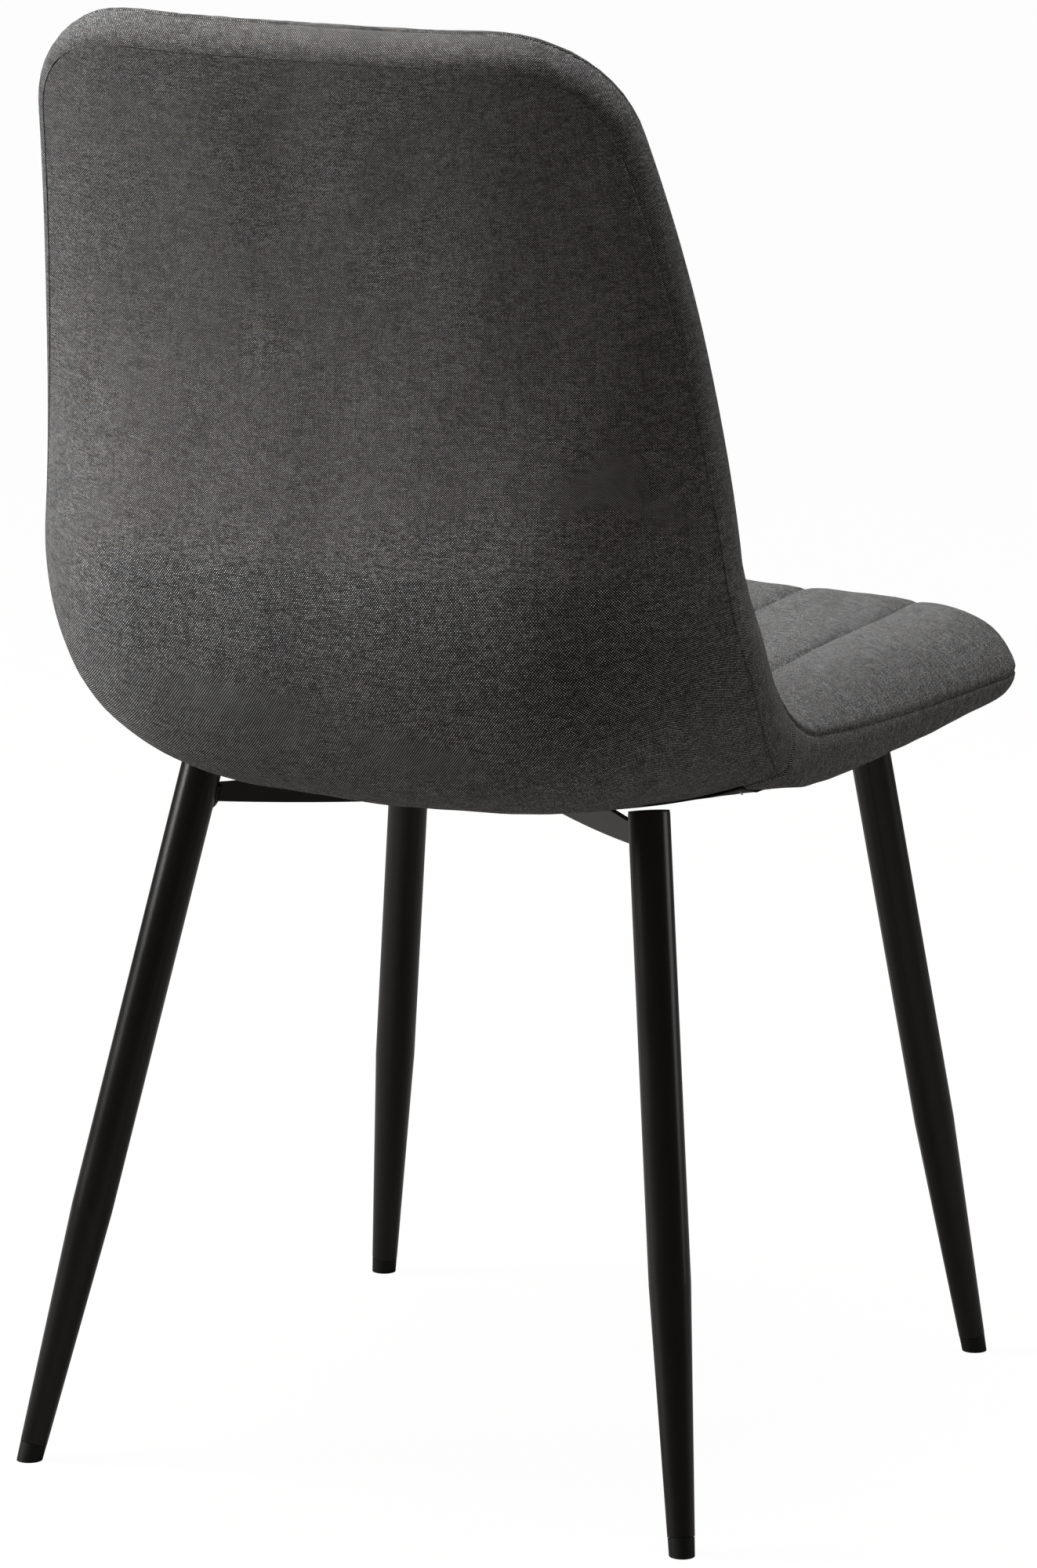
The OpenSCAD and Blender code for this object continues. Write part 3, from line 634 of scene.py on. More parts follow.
    def outward(self, s: Array, x: Array) -> tuple[Array, Array]:
        """Unit direction towards the outline, as its parts along s and x."""
        step = 1e-4
        ds = self.edge_distance(s - step, x) - self.edge_distance(s + step, x)
        dx = self.edge_distance(s, x - step) - self.edge_distance(s, x + step)
        size = np.maximum(np.hypot(ds, dx), 1e-12)
        return ds / size, dx / size

    def crown_rise(self, s: Array) -> Array:
        """Height of the padding's middle over its rim at lengths s."""
        return (
            self.at_station(self.thicknesses, s)
            - self.at_station(self.inner_rims, s)
            - self.at_station(self.outer_rims, s)
            - self.at_station(self.outer_crowns, s)
        )

    def over(self, s: Array, x: Array) -> Array:
        """Height of the sitting side over the seam surface."""
        d, rim = self.edge_distance(s, x), self.at_station(self.inner_rims, s)
        edge = rim * round_edge(d, self.inner_rim_r)
        return edge + self.crown_rise(s) * crown(d, self.inner_crown_r)

    def point(self, s: Array, x: Array, k: Array) -> Array:
        """Point at length s, sideways place x and height k over the seam surface."""
        w = self.at_station(self.half_widths, s)
        share = np.minimum(np.abs(x) / w, 1.0)
        bend_start, bend_end = 0.9 * self.knots[2], self.knots[3]
        low, high = self.dish_powers
        power = low + (high - low) * soft_step((s - bend_start) / (bend_end - bend_start))
        depth = self.at_station(self.dishes, s)
        lean = depth * power * share ** (power - 1) / w * np.sign(x)
        stretch = np.sqrt(1 + lean**2)
        middle, reach = 1 - share**2, self.bulge_reach
        shift = self.top_bulge * middle * soft_step((s - self.length + reach) / reach)
        shift = shift - self.front_bulge * middle * soft_step((reach - s) / reach)
        y, z, slope = self.centre_line(s + shift)
        rise = depth * share**power + k / stretch
        across = x - k * lean / stretch
        return np.stack([across, y - rise * np.sin(slope), z + rise * np.cos(slope)], -1)

    def rim_run(self, d: Array, radius: float, rim: Array) -> Array:
        """Length of cloth over the rim's rounding from a distance d inside the edge to the edge."""
        turn = np.arccos(np.clip(1 - d / radius, 0, 1))
        steps = np.linspace(0, 1, 9)
        angle = np.multiply.outer(turn, steps)
        speed = np.hypot(radius * np.sin(angle), np.asarray(rim)[..., None] * np.cos(angle))
        return turn * (speed[..., :-1] + speed[..., 1:]).mean(-1) / 2

    def cloth_place(self, s: Array, x: Array, outer: bool) -> Array:
        """Place (across, along) of a point on cloth laid flat.

        Args:
            s: Lengths along the centre line.
            x: Sideways places.
            outer: True on the outer side, whose rim is deeper.

        Returns:
            The flat places in metres.
        """
        w, depth = self.at_station(self.half_widths, s), self.at_station(self.dishes, s)
        power = self.dish_powers[0]
        lean = (depth * power / w) ** 2 / 2 * w / (2 * power - 1)
        across = x + np.sign(x) * lean * np.minimum(np.abs(x) / w, 1.0) ** (2 * power - 1)
        radius = self.outer_rim_r if outer else self.inner_rim_r
        rim = self.at_station(self.outer_rims if outer else self.inner_rims, s)
        d = self.edge_distance(s, x)
        whole = self.rim_run(np.full_like(d, radius), radius, rim)
        left = whole - self.rim_run(d, radius, rim)
        extra = np.where(d < radius, left - (radius - np.minimum(d, radius)), 0)
        out_s, out_x = self.outward(s, x)
        return np.stack([across + out_x * extra, s + out_s * extra], -1)


def round_edge(d: Array, radius: float) -> Array:
    """Quarter-round rise from 0 at the edge to 1 at a radius inside it."""
    return np.sqrt(np.maximum(0.0, 1 - (1 - np.clip(d / radius, 0, 1)) ** 2))


def crown(d: Array, radius: float) -> Array:
    """Parabolic rise from 0 at the edge to 1 at a radius inside it."""
    return 1 - (1 - np.clip(d / radius, 0, 1)) ** 2


# ---- grids of points over the shell ----


SEAM_STEPS = (0.0, 0.0005, 0.001, 0.0017, 0.0027, 0.004, 0.0065)


@dataclass(frozen=True)
class Layout:
    """Rows across and columns along the shell, with columns on the quilting lines."""

    form: ShellForm
    start: float = 0.0
    lines: tuple = ()
    row_step: float = 0.0045
    span_columns: int = 14
    corner_rows: int = 12
    edge_room: float = 0.008

    def rows(self, inset: float) -> Array:
        """Lengths of the rows of a grid whose border lies inset from the outline."""
        form, turn = self.form, np.radians(90 * np.arange(self.corner_rows) / self.corner_rows)
        front, top = form.front_corner, form.length - form.top_corner
        if self.start > 0:
            near = self.start + np.array(SEAM_STEPS)
            low, first = near[:-1], near[-1]
        else:
            low, first = inset + (front - inset) * (1 - np.cos(turn)), front
        middle = np.linspace(first, top, round((top - first) / self.row_step) + 1)
        high = form.length - inset - (form.top_corner - inset) * (1 - np.cos(turn[::-1]))
        return np.concatenate([low, middle, high])

    @cached_property
    def places(self) -> Array:
        """Place of every column: its span's number plus the share of that span."""
        n = self.span_columns
        share = np.arange(n) / n
        share = 0.75 * (1 - np.cos(math.pi * share)) / 2 + 0.25 * share
        spans = len(self.lines) + 1
        return np.concatenate([k + share for k in range(spans)] + [[float(spans)]])

    def columns(self, s: Array, inset: float) -> Array:
        """Sideways place of every column in rows at lengths s."""
        w = self.form.half_width(s, inset)[:, None]
        reach = w - self.edge_room
        marks = [-w] + [np.clip(line, -reach, reach) for line in self.lines] + [w]
        marks = np.concatenate([np.broadcast_to(m, w.shape) for m in marks], 1)
        k = np.clip(self.places.astype(int), 0, marks.shape[1] - 2)
        return marks[:, k] + (marks[:, k + 1] - marks[:, k]) * (self.places - k)

    def grid(self, inset: float) -> tuple[Array, Array]:
        """Lengths and sideways places of the grid, as two arrays of rows by columns."""
        s = self.rows(inset)
        x = self.columns(s, inset)
        return np.broadcast_to(s[:, None], x.shape), x

    def loop(self, inset: float) -> tuple[Array, Array]:
        """Lengths and sideways places along the border, from row 0 up, over the top and down."""
        s, x = self.grid(max(inset, LEAST_INSET))
        pick = self.loop_index(*x.shape)
        return s.reshape(-1)[pick], x.reshape(-1)[pick]

    def loop_index(self, rows: int, columns: int) -> Array:
        """Numbers of the grid's border points in the order of loop()."""
        left = np.arange(rows) * columns
        top = (rows - 1) * columns + np.arange(1, columns)
        right = np.arange(rows - 2, -1, -1) * columns + columns - 1
        front = np.arange(columns - 2, 0, -1) if self.start == 0 else np.array([], int)
        return np.concatenate([left, top, right, front])


class Patchwork:
    """Points and faces of one piece, put together from grids and strips."""

    def __init__(self) -> None:
        """Starts empty."""
        self.points: list[Array] = []
        self.flat: list[Array] = []
        self.faces: list[Array] = []
        self.size = 0

    def add(self, points: Array, flat: Array) -> Array:
        """Adds points with their flat places and gives their numbers in the same shape."""
        count = points.shape[:-1]
        self.points.append(points.reshape(-1, 3))
        self.flat.append(flat.reshape(-1, 2))
        made = self.size + np.arange(int(np.prod(count))).reshape(count)
        self.size += made.size
        return made

    def grid(self, index: Array) -> None:
        """Joins a grid of point numbers with quads."""
        quads = [index[:-1, :-1], index[:-1, 1:], index[1:, 1:], index[1:, :-1]]
        self.faces.append(np.stack([q.reshape(-1) for q in quads], 1))

    def strip(self, first: Array, second: Array, closed: bool) -> None:
        """Joins two rows of point numbers with quads."""
        pair = np.stack([first, second])
        if closed:
            pair = np.concatenate([pair, pair[:, :1]], 1)
        self.grid(pair)

    def close(self, outer: Array, inner: Array) -> None:
        """Joins the four borders of two grids that lie over each other."""
        self.strip(outer[0], inner[0], False)
        self.strip(inner[-1], outer[-1], False)
        self.strip(inner[:, 0], outer[:, 0], False)
        self.strip(outer[:, -1], inner[:, -1], False)

    def build(self, name: str, material: bpy.types.Material) -> bpy.types.Object:
        """Makes the piece.

        Args:
            name: The piece's name.
            material: Its finish.

        Returns:
            A smooth mesh object with normals outward and the flat cloth map.
        """
        points, faces = np.concatenate(self.points), np.concatenate(self.faces)
        return make_mesh(name, points, faces, material, np.concatenate(self.flat))


def make_mesh(
    name: str, points: Array, faces: Array, material: bpy.types.Material, flat: Array | None = None
) -> bpy.types.Object:
    """Makes a smooth mesh object of quads with its normals outward and links it to the scene."""
    mesh = bpy.data.meshes.new(name)
    mesh.from_pydata(points.tolist(), [], faces.tolist())
    if mesh_volume(points, faces) < 0:
        mesh.flip_normals()
    mesh.shade_smooth()
    mesh.materials.append(material)
    if flat is not None:
        corner = np.empty(len(mesh.loops), np.int32)
        mesh.loops.foreach_get("vertex_index", corner)
        layer = mesh.uv_layers.new(name=CLOTH_MAP)
        layer.data.foreach_set("uv", flat[corner].astype(np.float32).reshape(-1))
    made = bpy.data.objects.new(name, mesh)
    bpy.context.scene.collection.objects.link(made)
    return made


def mesh_volume(points: Array, faces: Array) -> float:
    """Signed volume inside quads."""
    a, b, c, d = (points[faces[:, i]] for i in range(4))
    one = np.einsum("ij,ij->i", a, np.cross(b, c))
    two = np.einsum("ij,ij->i", a, np.cross(c, d))
    return float((one + two).sum() / 6)


@dataclass(frozen=True)
class Ripple:
    """Smooth random unevenness over the cloth, from a fixed seed."""

    seed: int
    wave: float
    terms: int = 14

    def at(self, u: Array, v: Array) -> Array:
        """Value of about -1 to 1 at each place in metres."""
        draw = np.random.default_rng(self.seed)
        angle = draw.uniform(0, math.tau, self.terms)
        stretch = draw.uniform(0.6, 1.6, self.terms) * math.tau / self.wave
        phase = draw.uniform(0, math.tau, self.terms)
        total = np.zeros_like(u)
        for a, k, p in zip(angle, stretch, phase):
            total = total + np.sin(k * (u * math.cos(a) + v * math.sin(a)) + p)
        return total / math.sqrt(self.terms)


SEAT_WEAR = ((Ripple(11, 0.09), 0.0004), (Ripple(12, 0.028), 0.00016))
BACK_WEAR = ((Ripple(31, 0.12), 0.0005), (Ripple(32, 0.03), 0.00012))


def wear(parts: tuple, u: Array, v: Array) -> Array:
    """Sum of ripples, each times its height in metres."""
    return sum(ripple.at(u, v) * height for ripple, height in parts)


# ---- upholstery ----


@dataclass(frozen=True)
class SeamWork:
    """How the cloth turns into the main seam: a narrow groove between two soft lips."""

    depth: float = 0.0011
    width: float = 0.0011
    lip: float = 0.0003
    lip_place: float = 0.0042
    lip_width: float = 0.0024
    pucker: float = 0.00028
    pucker_wave: float = 0.011
    pucker_place: float = 0.005
    pucker_width: float = 0.007
    corner_gain: float = 1.2
    corner_reach: float = 0.035

    def pull(self, arc: Array) -> Array:
        """Distance by which the cloth is drawn in, at a length of cloth from the seam."""
        lip = self.lip * bell((arc - self.lip_place) / self.lip_width)
        return self.depth * bell(arc / self.width) - lip


@dataclass(frozen=True)
class ChannelWork:
    """Stitched lines that run from the front of the seat to the top of the back."""

    lines: tuple = (-0.154, -0.077, 0.0, 0.077, 0.154)
    depth: float = 0.0026
    width: float = 0.0017
    draw_in: float = 0.0010
    draw_width: float = 0.009
    fade_start: float = 0.006
    fade_end: float = 0.03
    puff: float = 0.0024

    def strength(self, d: Array) -> Array:
        """Share of the full depth at a distance from the outline."""
        return soft_step((d - self.fade_start) / (self.fade_end - self.fade_start))

    def groove(self, x: Array, d: Array) -> Array:
        """Depth of the stitched grooves."""
        away = np.min(np.abs(x[..., None] - np.array(self.lines)), -1)
        sharp = self.depth * np.exp(-away / self.width)
        wide = self.draw_in * bell(away / self.draw_width)
        return (sharp + wide) * self.strength(d)


@dataclass(frozen=True)
class PaddingCloth:
    """The sitting side's cover as cloth over padding, held at its edge and stitched lines."""

    form: ShellForm
    channels: ChannelWork
    inset: float
    row_step: float = 0.0075
    span_columns: int = 8
    frames: int = 20
    pressure: float = 2.4
    spare_cloth: float = -0.0018
    lowest: float = -0.0012
    highest: float = 0.0034

    def lift(self) -> tuple[Array, Array, Array]:
        """Simulates the cover under pressure.

        Returns:
            The rows' lengths, the columns' places, and how far the cloth rose at each.
        """
        lines = self.channels.lines
        layout = Layout(self.form, 0.0, lines, self.row_step, self.span_columns, corner_rows=6)
        s, x = layout.grid(self.inset)
        heights = self.form.over(s, x)
        rest = self.form.point(s, x, heights)
        patch = Patchwork()
        index = patch.add(rest, np.stack([s, x], -1))
        patch.grid(index)
        cloth = patch.build("padding_cloth_working", bpy.data.materials[0])
        held = np.zeros(s.shape, bool)
        held[[0, -1]] = held[:, [0, -1]] = True
        held[:, layout.places == np.round(layout.places)] = True
        group = cloth.vertex_groups.new(name="held")
        group.add(index[held].tolist(), 1.0, "REPLACE")
        self._set_up(cloth)
        moved = self._run(cloth).reshape(rest.shape)
        above = self.form.point(s, x, heights + NUDGE) - rest
        normal = above / np.linalg.norm(above, axis=-1, keepdims=True)
        rise = np.clip(((moved - rest) * normal).sum(-1), self.lowest, self.highest)
        return s[:, 0], layout.places, rise

    def _set_up(self, cloth: bpy.types.Object) -> None:
        """Adds the cloth modifier and its settings."""
        made = cloth.modifiers.new("padding", "CLOTH")
        settings = made.settings
        settings.quality = 7
        settings.mass = 0.25
        settings.tension_stiffness = settings.compression_stiffness = 25
        settings.shear_stiffness = 8
        settings.bending_stiffness = 2.5
        settings.use_pressure = True
        settings.uniform_pressure_force = self.pressure
        settings.shrink_min = self.spare_cloth
        settings.vertex_group_mass = "held"
        settings.effector_weights.gravity = 0
        made.collision_settings.use_collision = False
        made.point_cache.frame_start, made.point_cache.frame_end = 1, self.frames

    def _run(self, cloth: bpy.types.Object) -> Array:
        """Steps through the frames, takes the last shape and removes the working mesh."""
        scene = bpy.context.scene
        for now in range(1, self.frames + 1):
            scene.frame_set(now)
        shaped = cloth.evaluated_get(bpy.context.evaluated_depsgraph_get())
        places = np.empty(len(shaped.data.vertices) * 3)
        shaped.data.vertices.foreach_get("co", places)
        bpy.data.objects.remove(cloth)
        scene.frame_set(1)
        return places


@dataclass
class Upholstery:
    """Inner cushion, outer back panel, side band and the cloth under the seat."""

    form: ShellForm
    finishes: Finishes
    seam: SeamWork = field(default_factory=SeamWork)
    channels: ChannelWork = field(default_factory=ChannelWork)
    cover: float = 0.0012
    gap: float = 0.0003
    board: float = 0.010
    board_inset: float = 0.014
    wrap_inset: float = 0.0015
    back_foam: float = 0.008
    foam_start: float = 0.398
    foam_lead: float = 0.06
    band_width: float = 0.045
    under_inset: float = 0.033
    under_end: float = 0.397
    ring_count: int = 14
    groove_start: float = 0.004
    cross_depth: float = 0.0016
    cross_width: float = 0.0014
    cross_lip: float = 0.0006
    cross_lip_place: float = 0.005
    cross_lip_width: float = 0.003

    def _depth(self, s: Array, x: Array, d: Array | None = None, inset: float = 0.0) -> Array:
        """Depth of the outer side under the seam surface at a distance d from the outline."""
        form = self.form
        d = form.edge_distance(s, x) if d is None else d
        d = np.clip(d - inset, 0, None)
        rim = form.at_station(form.outer_rims, s) - inset
        rise = form.at_station(form.outer_crowns, s) * crown(d, form.outer_crown_r)
        return rim * round_edge(d, form.outer_rim_r - inset) + rise

    def _foam(self, s: Array, x: Array) -> Array:
        """Thickness of the foam behind the board."""
        d = np.clip(self.form.edge_distance(s, x) - self.wrap_inset, 0, None)
        rise = soft_step((s - self.foam_start) / self.foam_lead)
        return self.gap / 2 + (self.back_foam - self.gap / 2) * rise * np.clip(d / 0.0125, 0, 1)

    def _ring(
        self, layout: Layout, d: float, radius: float, rims: Sequence[float], outer: bool
    ) -> tuple[Array, Array, Array, Array]:
        """One ring round a rounded rim, drawn in at the seam.

        Args:
            layout: The grid whose border the ring follows.
            d: The ring's distance in from the outline before it is drawn in.
            radius: The rim's width.
            rims: The rim's depth at each station.
            outer: True on the outer side.

        Returns:
            The ring's lengths, sideways places, flat places and lengths of cloth from the seam.
        """
        s0, x0 = layout.loop(d)
        rim = self.form.at_station(rims, s0)
        arc = self.form.rim_run(np.full_like(s0, d), radius, rim)
        flat = self.form.cloth_place(s0, x0, outer)
        s, x = layout.loop(d + float(self.seam.pull(arc).mean()))
        return s, x, flat, arc

    def _pucker(self, flat: Array, arc: Array, seed: int) -> Array:
        """Small gathers beside the seam, stronger at the corner under the back."""
        wave = Ripple(seed, self.seam.pucker_wave).at(flat[..., 0], flat[..., 1])
        seam = self.seam
        near = bell((flat[..., 1] - self.form.cross_seam) / seam.corner_reach)
        beside = bell((arc - seam.pucker_place) / seam.pucker_width)
        return seam.pucker * (1 + seam.corner_gain * near) * wave * beside

    def _over(self, s: Array, x: Array, d: Array, puff: Array) -> Array:
        """Height of the sitting side with padding, stitched lines and unevenness."""
        worn = wear(SEAT_WEAR, x, s) * soft_step(d / 0.02)
        return self.form.over(s, x) + puff + worn - self.channels.groove(x, d)

    def cushion(self) -> bpy.types.Object:
        """Builds the padded inner side from the seam over the rim and back under it."""
        form, start = self.form, 0.003
        layout = Layout(form, 0.0, self.channels.lines)
        s, x = layout.grid(start)
        d = form.edge_distance(s, x)
        rows, places, rise = PaddingCloth(form, self.channels, start).lift()
        across = np.array([np.interp(layout.places, places, line) for line in rise])
        puff = np.array([np.interp(s[:, 0], rows, column) for column in across.T]).T
        puff = puff * soft_step(d / 0.012)
        patch = Patchwork()
        top = form.point(s, x, self._over(s, x, d, puff))
        index = patch.add(top, form.cloth_place(s, x, False))
        patch.grid(index)
        last = index.reshape(-1)[layout.loop_index(*index.shape)]
        widest = math.acos(1 - start / form.inner_rim_r)
        for turn in np.linspace(widest, 0, self.ring_count)[1:]:
            d = form.inner_rim_r * (1 - math.cos(turn))
            s, x, flat, arc = self._ring(layout, d, form.inner_rim_r, form.inner_rims, False)
            k = form.at_station(form.inner_rims, s) * math.sin(turn) + self._pucker(flat, arc, 21)
            k = k + form.crown_rise(s) * crown(d, form.inner_crown_r)
            ring = patch.add(form.point(s, x, k), flat)
            patch.strip(last, ring, True)
            last = ring
        self._close_cushion(patch, layout, last)
        return patch.build("seat_back_cushion", self.finishes.fabric)

    def _wrapped(self, s: Array, x: Array, on_board: float) -> Array:
        """Height of the cushion's skin behind the rim, over the foam that lies under it."""
        room = np.where(s < self.foam_start, 0, self._foam(s, x) + self.gap)
        return -self._depth(s, x, None, self.wrap_inset) + room + on_board

    def _close_cushion(self, patch: Patchwork, layout: Layout, last: Array) -> None:
        """Takes the cushion's skin in round the board's edge and over its face."""
        form, inside = self.form, self.board_inset - self.gap
        for d, on_board in ((0.0032, 0), (0.005, 0), (0.008, 0), (inside, 0), (inside, self.board)):
            s, x = layout.loop(d)
            points = form.point(s, x, self._wrapped(s, x, on_board))
            ring = patch.add(points, form.cloth_place(s, x, True))
            patch.strip(last, ring, True)
            last = ring
        s, x = layout.grid(self.board_inset + 0.001)
        points = form.point(s, x, self._wrapped(s, x, self.board))
        low = patch.add(points, form.cloth_place(s, x, True))
        patch.grid(low[:, ::-1])
        patch.strip(last, low.reshape(-1)[layout.loop_index(*low.shape)], True)

    def _cross_groove(self, s: Array) -> Array:
        """Depth of the seam that crosses under the shell, on either side of it."""
        away = np.abs(s - self.form.cross_seam)
        lip = self.cross_lip * bell((away - self.cross_lip_place) / self.cross_lip_width)
        return self.cross_depth * np.exp(-away / self.cross_width) - lip

    def _outside(self, layout: Layout, d: float, seed: int) -> tuple[Array, Array, Array]:
        """Lengths, sideways places and heights of one ring of the outer side."""
        form = self.form
        s, x, flat, arc = self._ring(layout, d, form.outer_rim_r, form.outer_rims, True)
        s0, x0 = layout.loop(d)
        k = -self._depth(s0, x0, np.full_like(s0, d)) - self.gap
        groove = self._cross_groove(s0) * soft_step(arc / self.groove_start)
        return s, x, k - self._pucker(flat, arc, seed) + groove

    def back_panel(self) -> bpy.types.Object:
        """Builds the padded outer back from the cross seam round the rim to the main seam."""
        form = self.form
        layout = Layout(form, form.cross_seam + self.gap / 2, (0.0,), span_columns=44)
        patch = Patchwork()
        r = form.outer_rim_r
        turns = np.linspace(math.pi / 2, 0, 20)[1:]
        skins = []
        for inner in (False, True):
            sink = self.wrap_inset if inner else 0.0
            s, x = layout.grid(r + sink)
            k = -self._depth(s, x, None, sink) - self.gap
            if inner:
                k = k + self._foam(s, x)
            else:
                near = soft_step((form.edge_distance(s, x) - r) / 0.03)
                k = k - wear(BACK_WEAR, x, s) * near + self._cross_groove(s)
            index = patch.add(form.point(s, x, k), form.cloth_place(s, x, True))
            patch.grid(index if inner else index[:, ::-1])
            last = index.reshape(-1)[layout.loop_index(*index.shape)]
            sides = [(last[0], last[-1])]
            for turn in turns:
                d = r * (1 - math.cos(turn))
                if inner:
                    s, x = layout.loop(d + sink)
                    k = -self._depth(s, x, None, sink) - self.gap + self._foam(s, x)
                else:
                    s, x, k = self._outside(layout, d, 33)
                ring = patch.add(form.point(s, x, k), form.cloth_place(*layout.loop(d), True))
                patch.strip(last, ring, False)
                last = ring
                sides.append((ring[0], ring[-1]))
            left, right = [a for a, _ in sides[:0:-1]], [b for _, b in sides[1:]]
            border = left + index[0].tolist() + right
            skins.append((last, np.array(border)))
        patch.strip(skins[0][0], skins[1][0], False)
        patch.strip(skins[1][1], skins[0][1], False)
        return patch.build("outer_back_panel", self.finishes.fabric)

    def _band_loop(self, layout: Layout, d: float) -> tuple[Array, Array]:
        """Lengths and sideways places along the seat's sides and front, from the left seam end."""
        d = max(d, LEAST_INSET)
        s = layout.rows(d)
        s = s[s < self.form.cross_seam - self.gap - SEAM_STEPS[-1]]
        near = self.form.cross_seam - self.gap / 2 - np.array(SEAM_STEPS[::-1])
        s = np.concatenate([s, near])
        x = self.form.half_width(s, d)
        front = layout.columns(s[:1], d)[0][::-1][1:-1]
        return (
            np.concatenate([s[::-1], np.full(len(front), s[0]), s]),
            np.concatenate([x[::-1], front, -x]),
        )

    def side_band(self) -> bpy.types.Object:
        """Builds the band of cloth that follows the seat's sides and front and turns under it."""
        form, layout = self.form, Layout(self.form, 0.0, (0.0,), span_columns=50)
        patch = Patchwork()
        r = form.outer_rim_r
        steps = [r * (1 - math.cos(t)) for t in np.linspace(0, math.pi / 2, 20)]
        steps += [0.0135, 0.016, 0.021, 0.027, 0.034, 0.040, self.band_width]
        wave = Ripple(41, 0.06)
        skins = []
        for inner in (False, True):
            rings = []
            for d in steps:
                s0, x0 = self._band_loop(layout, d)
                flat = form.cloth_place(s0, x0, True)
                arc = form.rim_run(np.full_like(s0, d), r, form.at_station(form.outer_rims, s0))
                arc = arc + max(0.0, d - r)
                k = -self._depth(s0, x0, np.full_like(s0, d)) - self.gap
                sunk = d + float(self.seam.pull(arc).mean())
                if inner:
                    sunk = min(sunk + self.cover, self.band_width)
                    k = k + self.cover * soft_step(d / r)
                groove = self._cross_groove(s0) * soft_step(arc / self.groove_start)
                k = k - self._pucker(flat, arc, 42) + groove
                k = k - wave.at(flat[:, 0], flat[:, 1]) * 0.0003 * soft_step((arc - 0.01) / 0.02)
                s, x = self._band_loop(layout, sunk)
                rings.append(patch.add(form.point(s, x, k), flat))
            index = np.array(rings)
            patch.grid(index if inner else index[:, ::-1])
            skins.append(index)
        patch.close(*skins)
        return patch.build("side_band", self.finishes.fabric)

    def under_cloth(self, staples: Sequence[tuple[float, float, float]]) -> bpy.types.Object:
        """Builds the thin cloth under the seat, with a small tuck at every staple."""
        form = self.form
        rows = np.linspace(self.under_inset, self.under_end, 84)
        w = form.half_width(rows, self.under_inset)[:, None]
        x = w * np.sin(np.linspace(-math.pi / 2, math.pi / 2, 100))[None]
        s = np.broadcast_to(rows[:, None], x.shape)
        sag = Ripple(51, 0.07).at(x, s) * 0.0005
        for along, aside, _ in staples:
            near = np.hypot(s - along, x - aside)
            sag = sag - 0.0009 * bell(near / 0.008) + 0.0005 * bell((near - 0.016) / 0.009)
        patch = Patchwork()
        skins = []
        for lift in (0.0006, 0.0011):
            k = -self._depth(s, x) - self.gap - lift - np.maximum(sag, -0.0003)
            index = patch.add(form.point(s, x, k), np.stack([x, s], -1))
            skins.append(index)
        up, low = skins
        patch.grid(up)
        patch.grid(low[:, ::-1])
        patch.close(low, up)
        return patch.build("under_seat_cloth", self.finishes.dust)


# ---- repeated small pieces ----


@dataclass(frozen=True)
class Wire:
    """Sizes of a repeated wire, and the share by which its copies differ."""

    length: float
    rise: float
    radius: float
    spread: float


STITCH = Wire(0.0039, 0.00035, 0.00032, 0.05)
STAPLE = Wire(0.0095, 0.0009, 0.0004, 0.03)
WELD_RIPPLE = Wire(0.0062, 0.0003, 0.0014, 0.06)


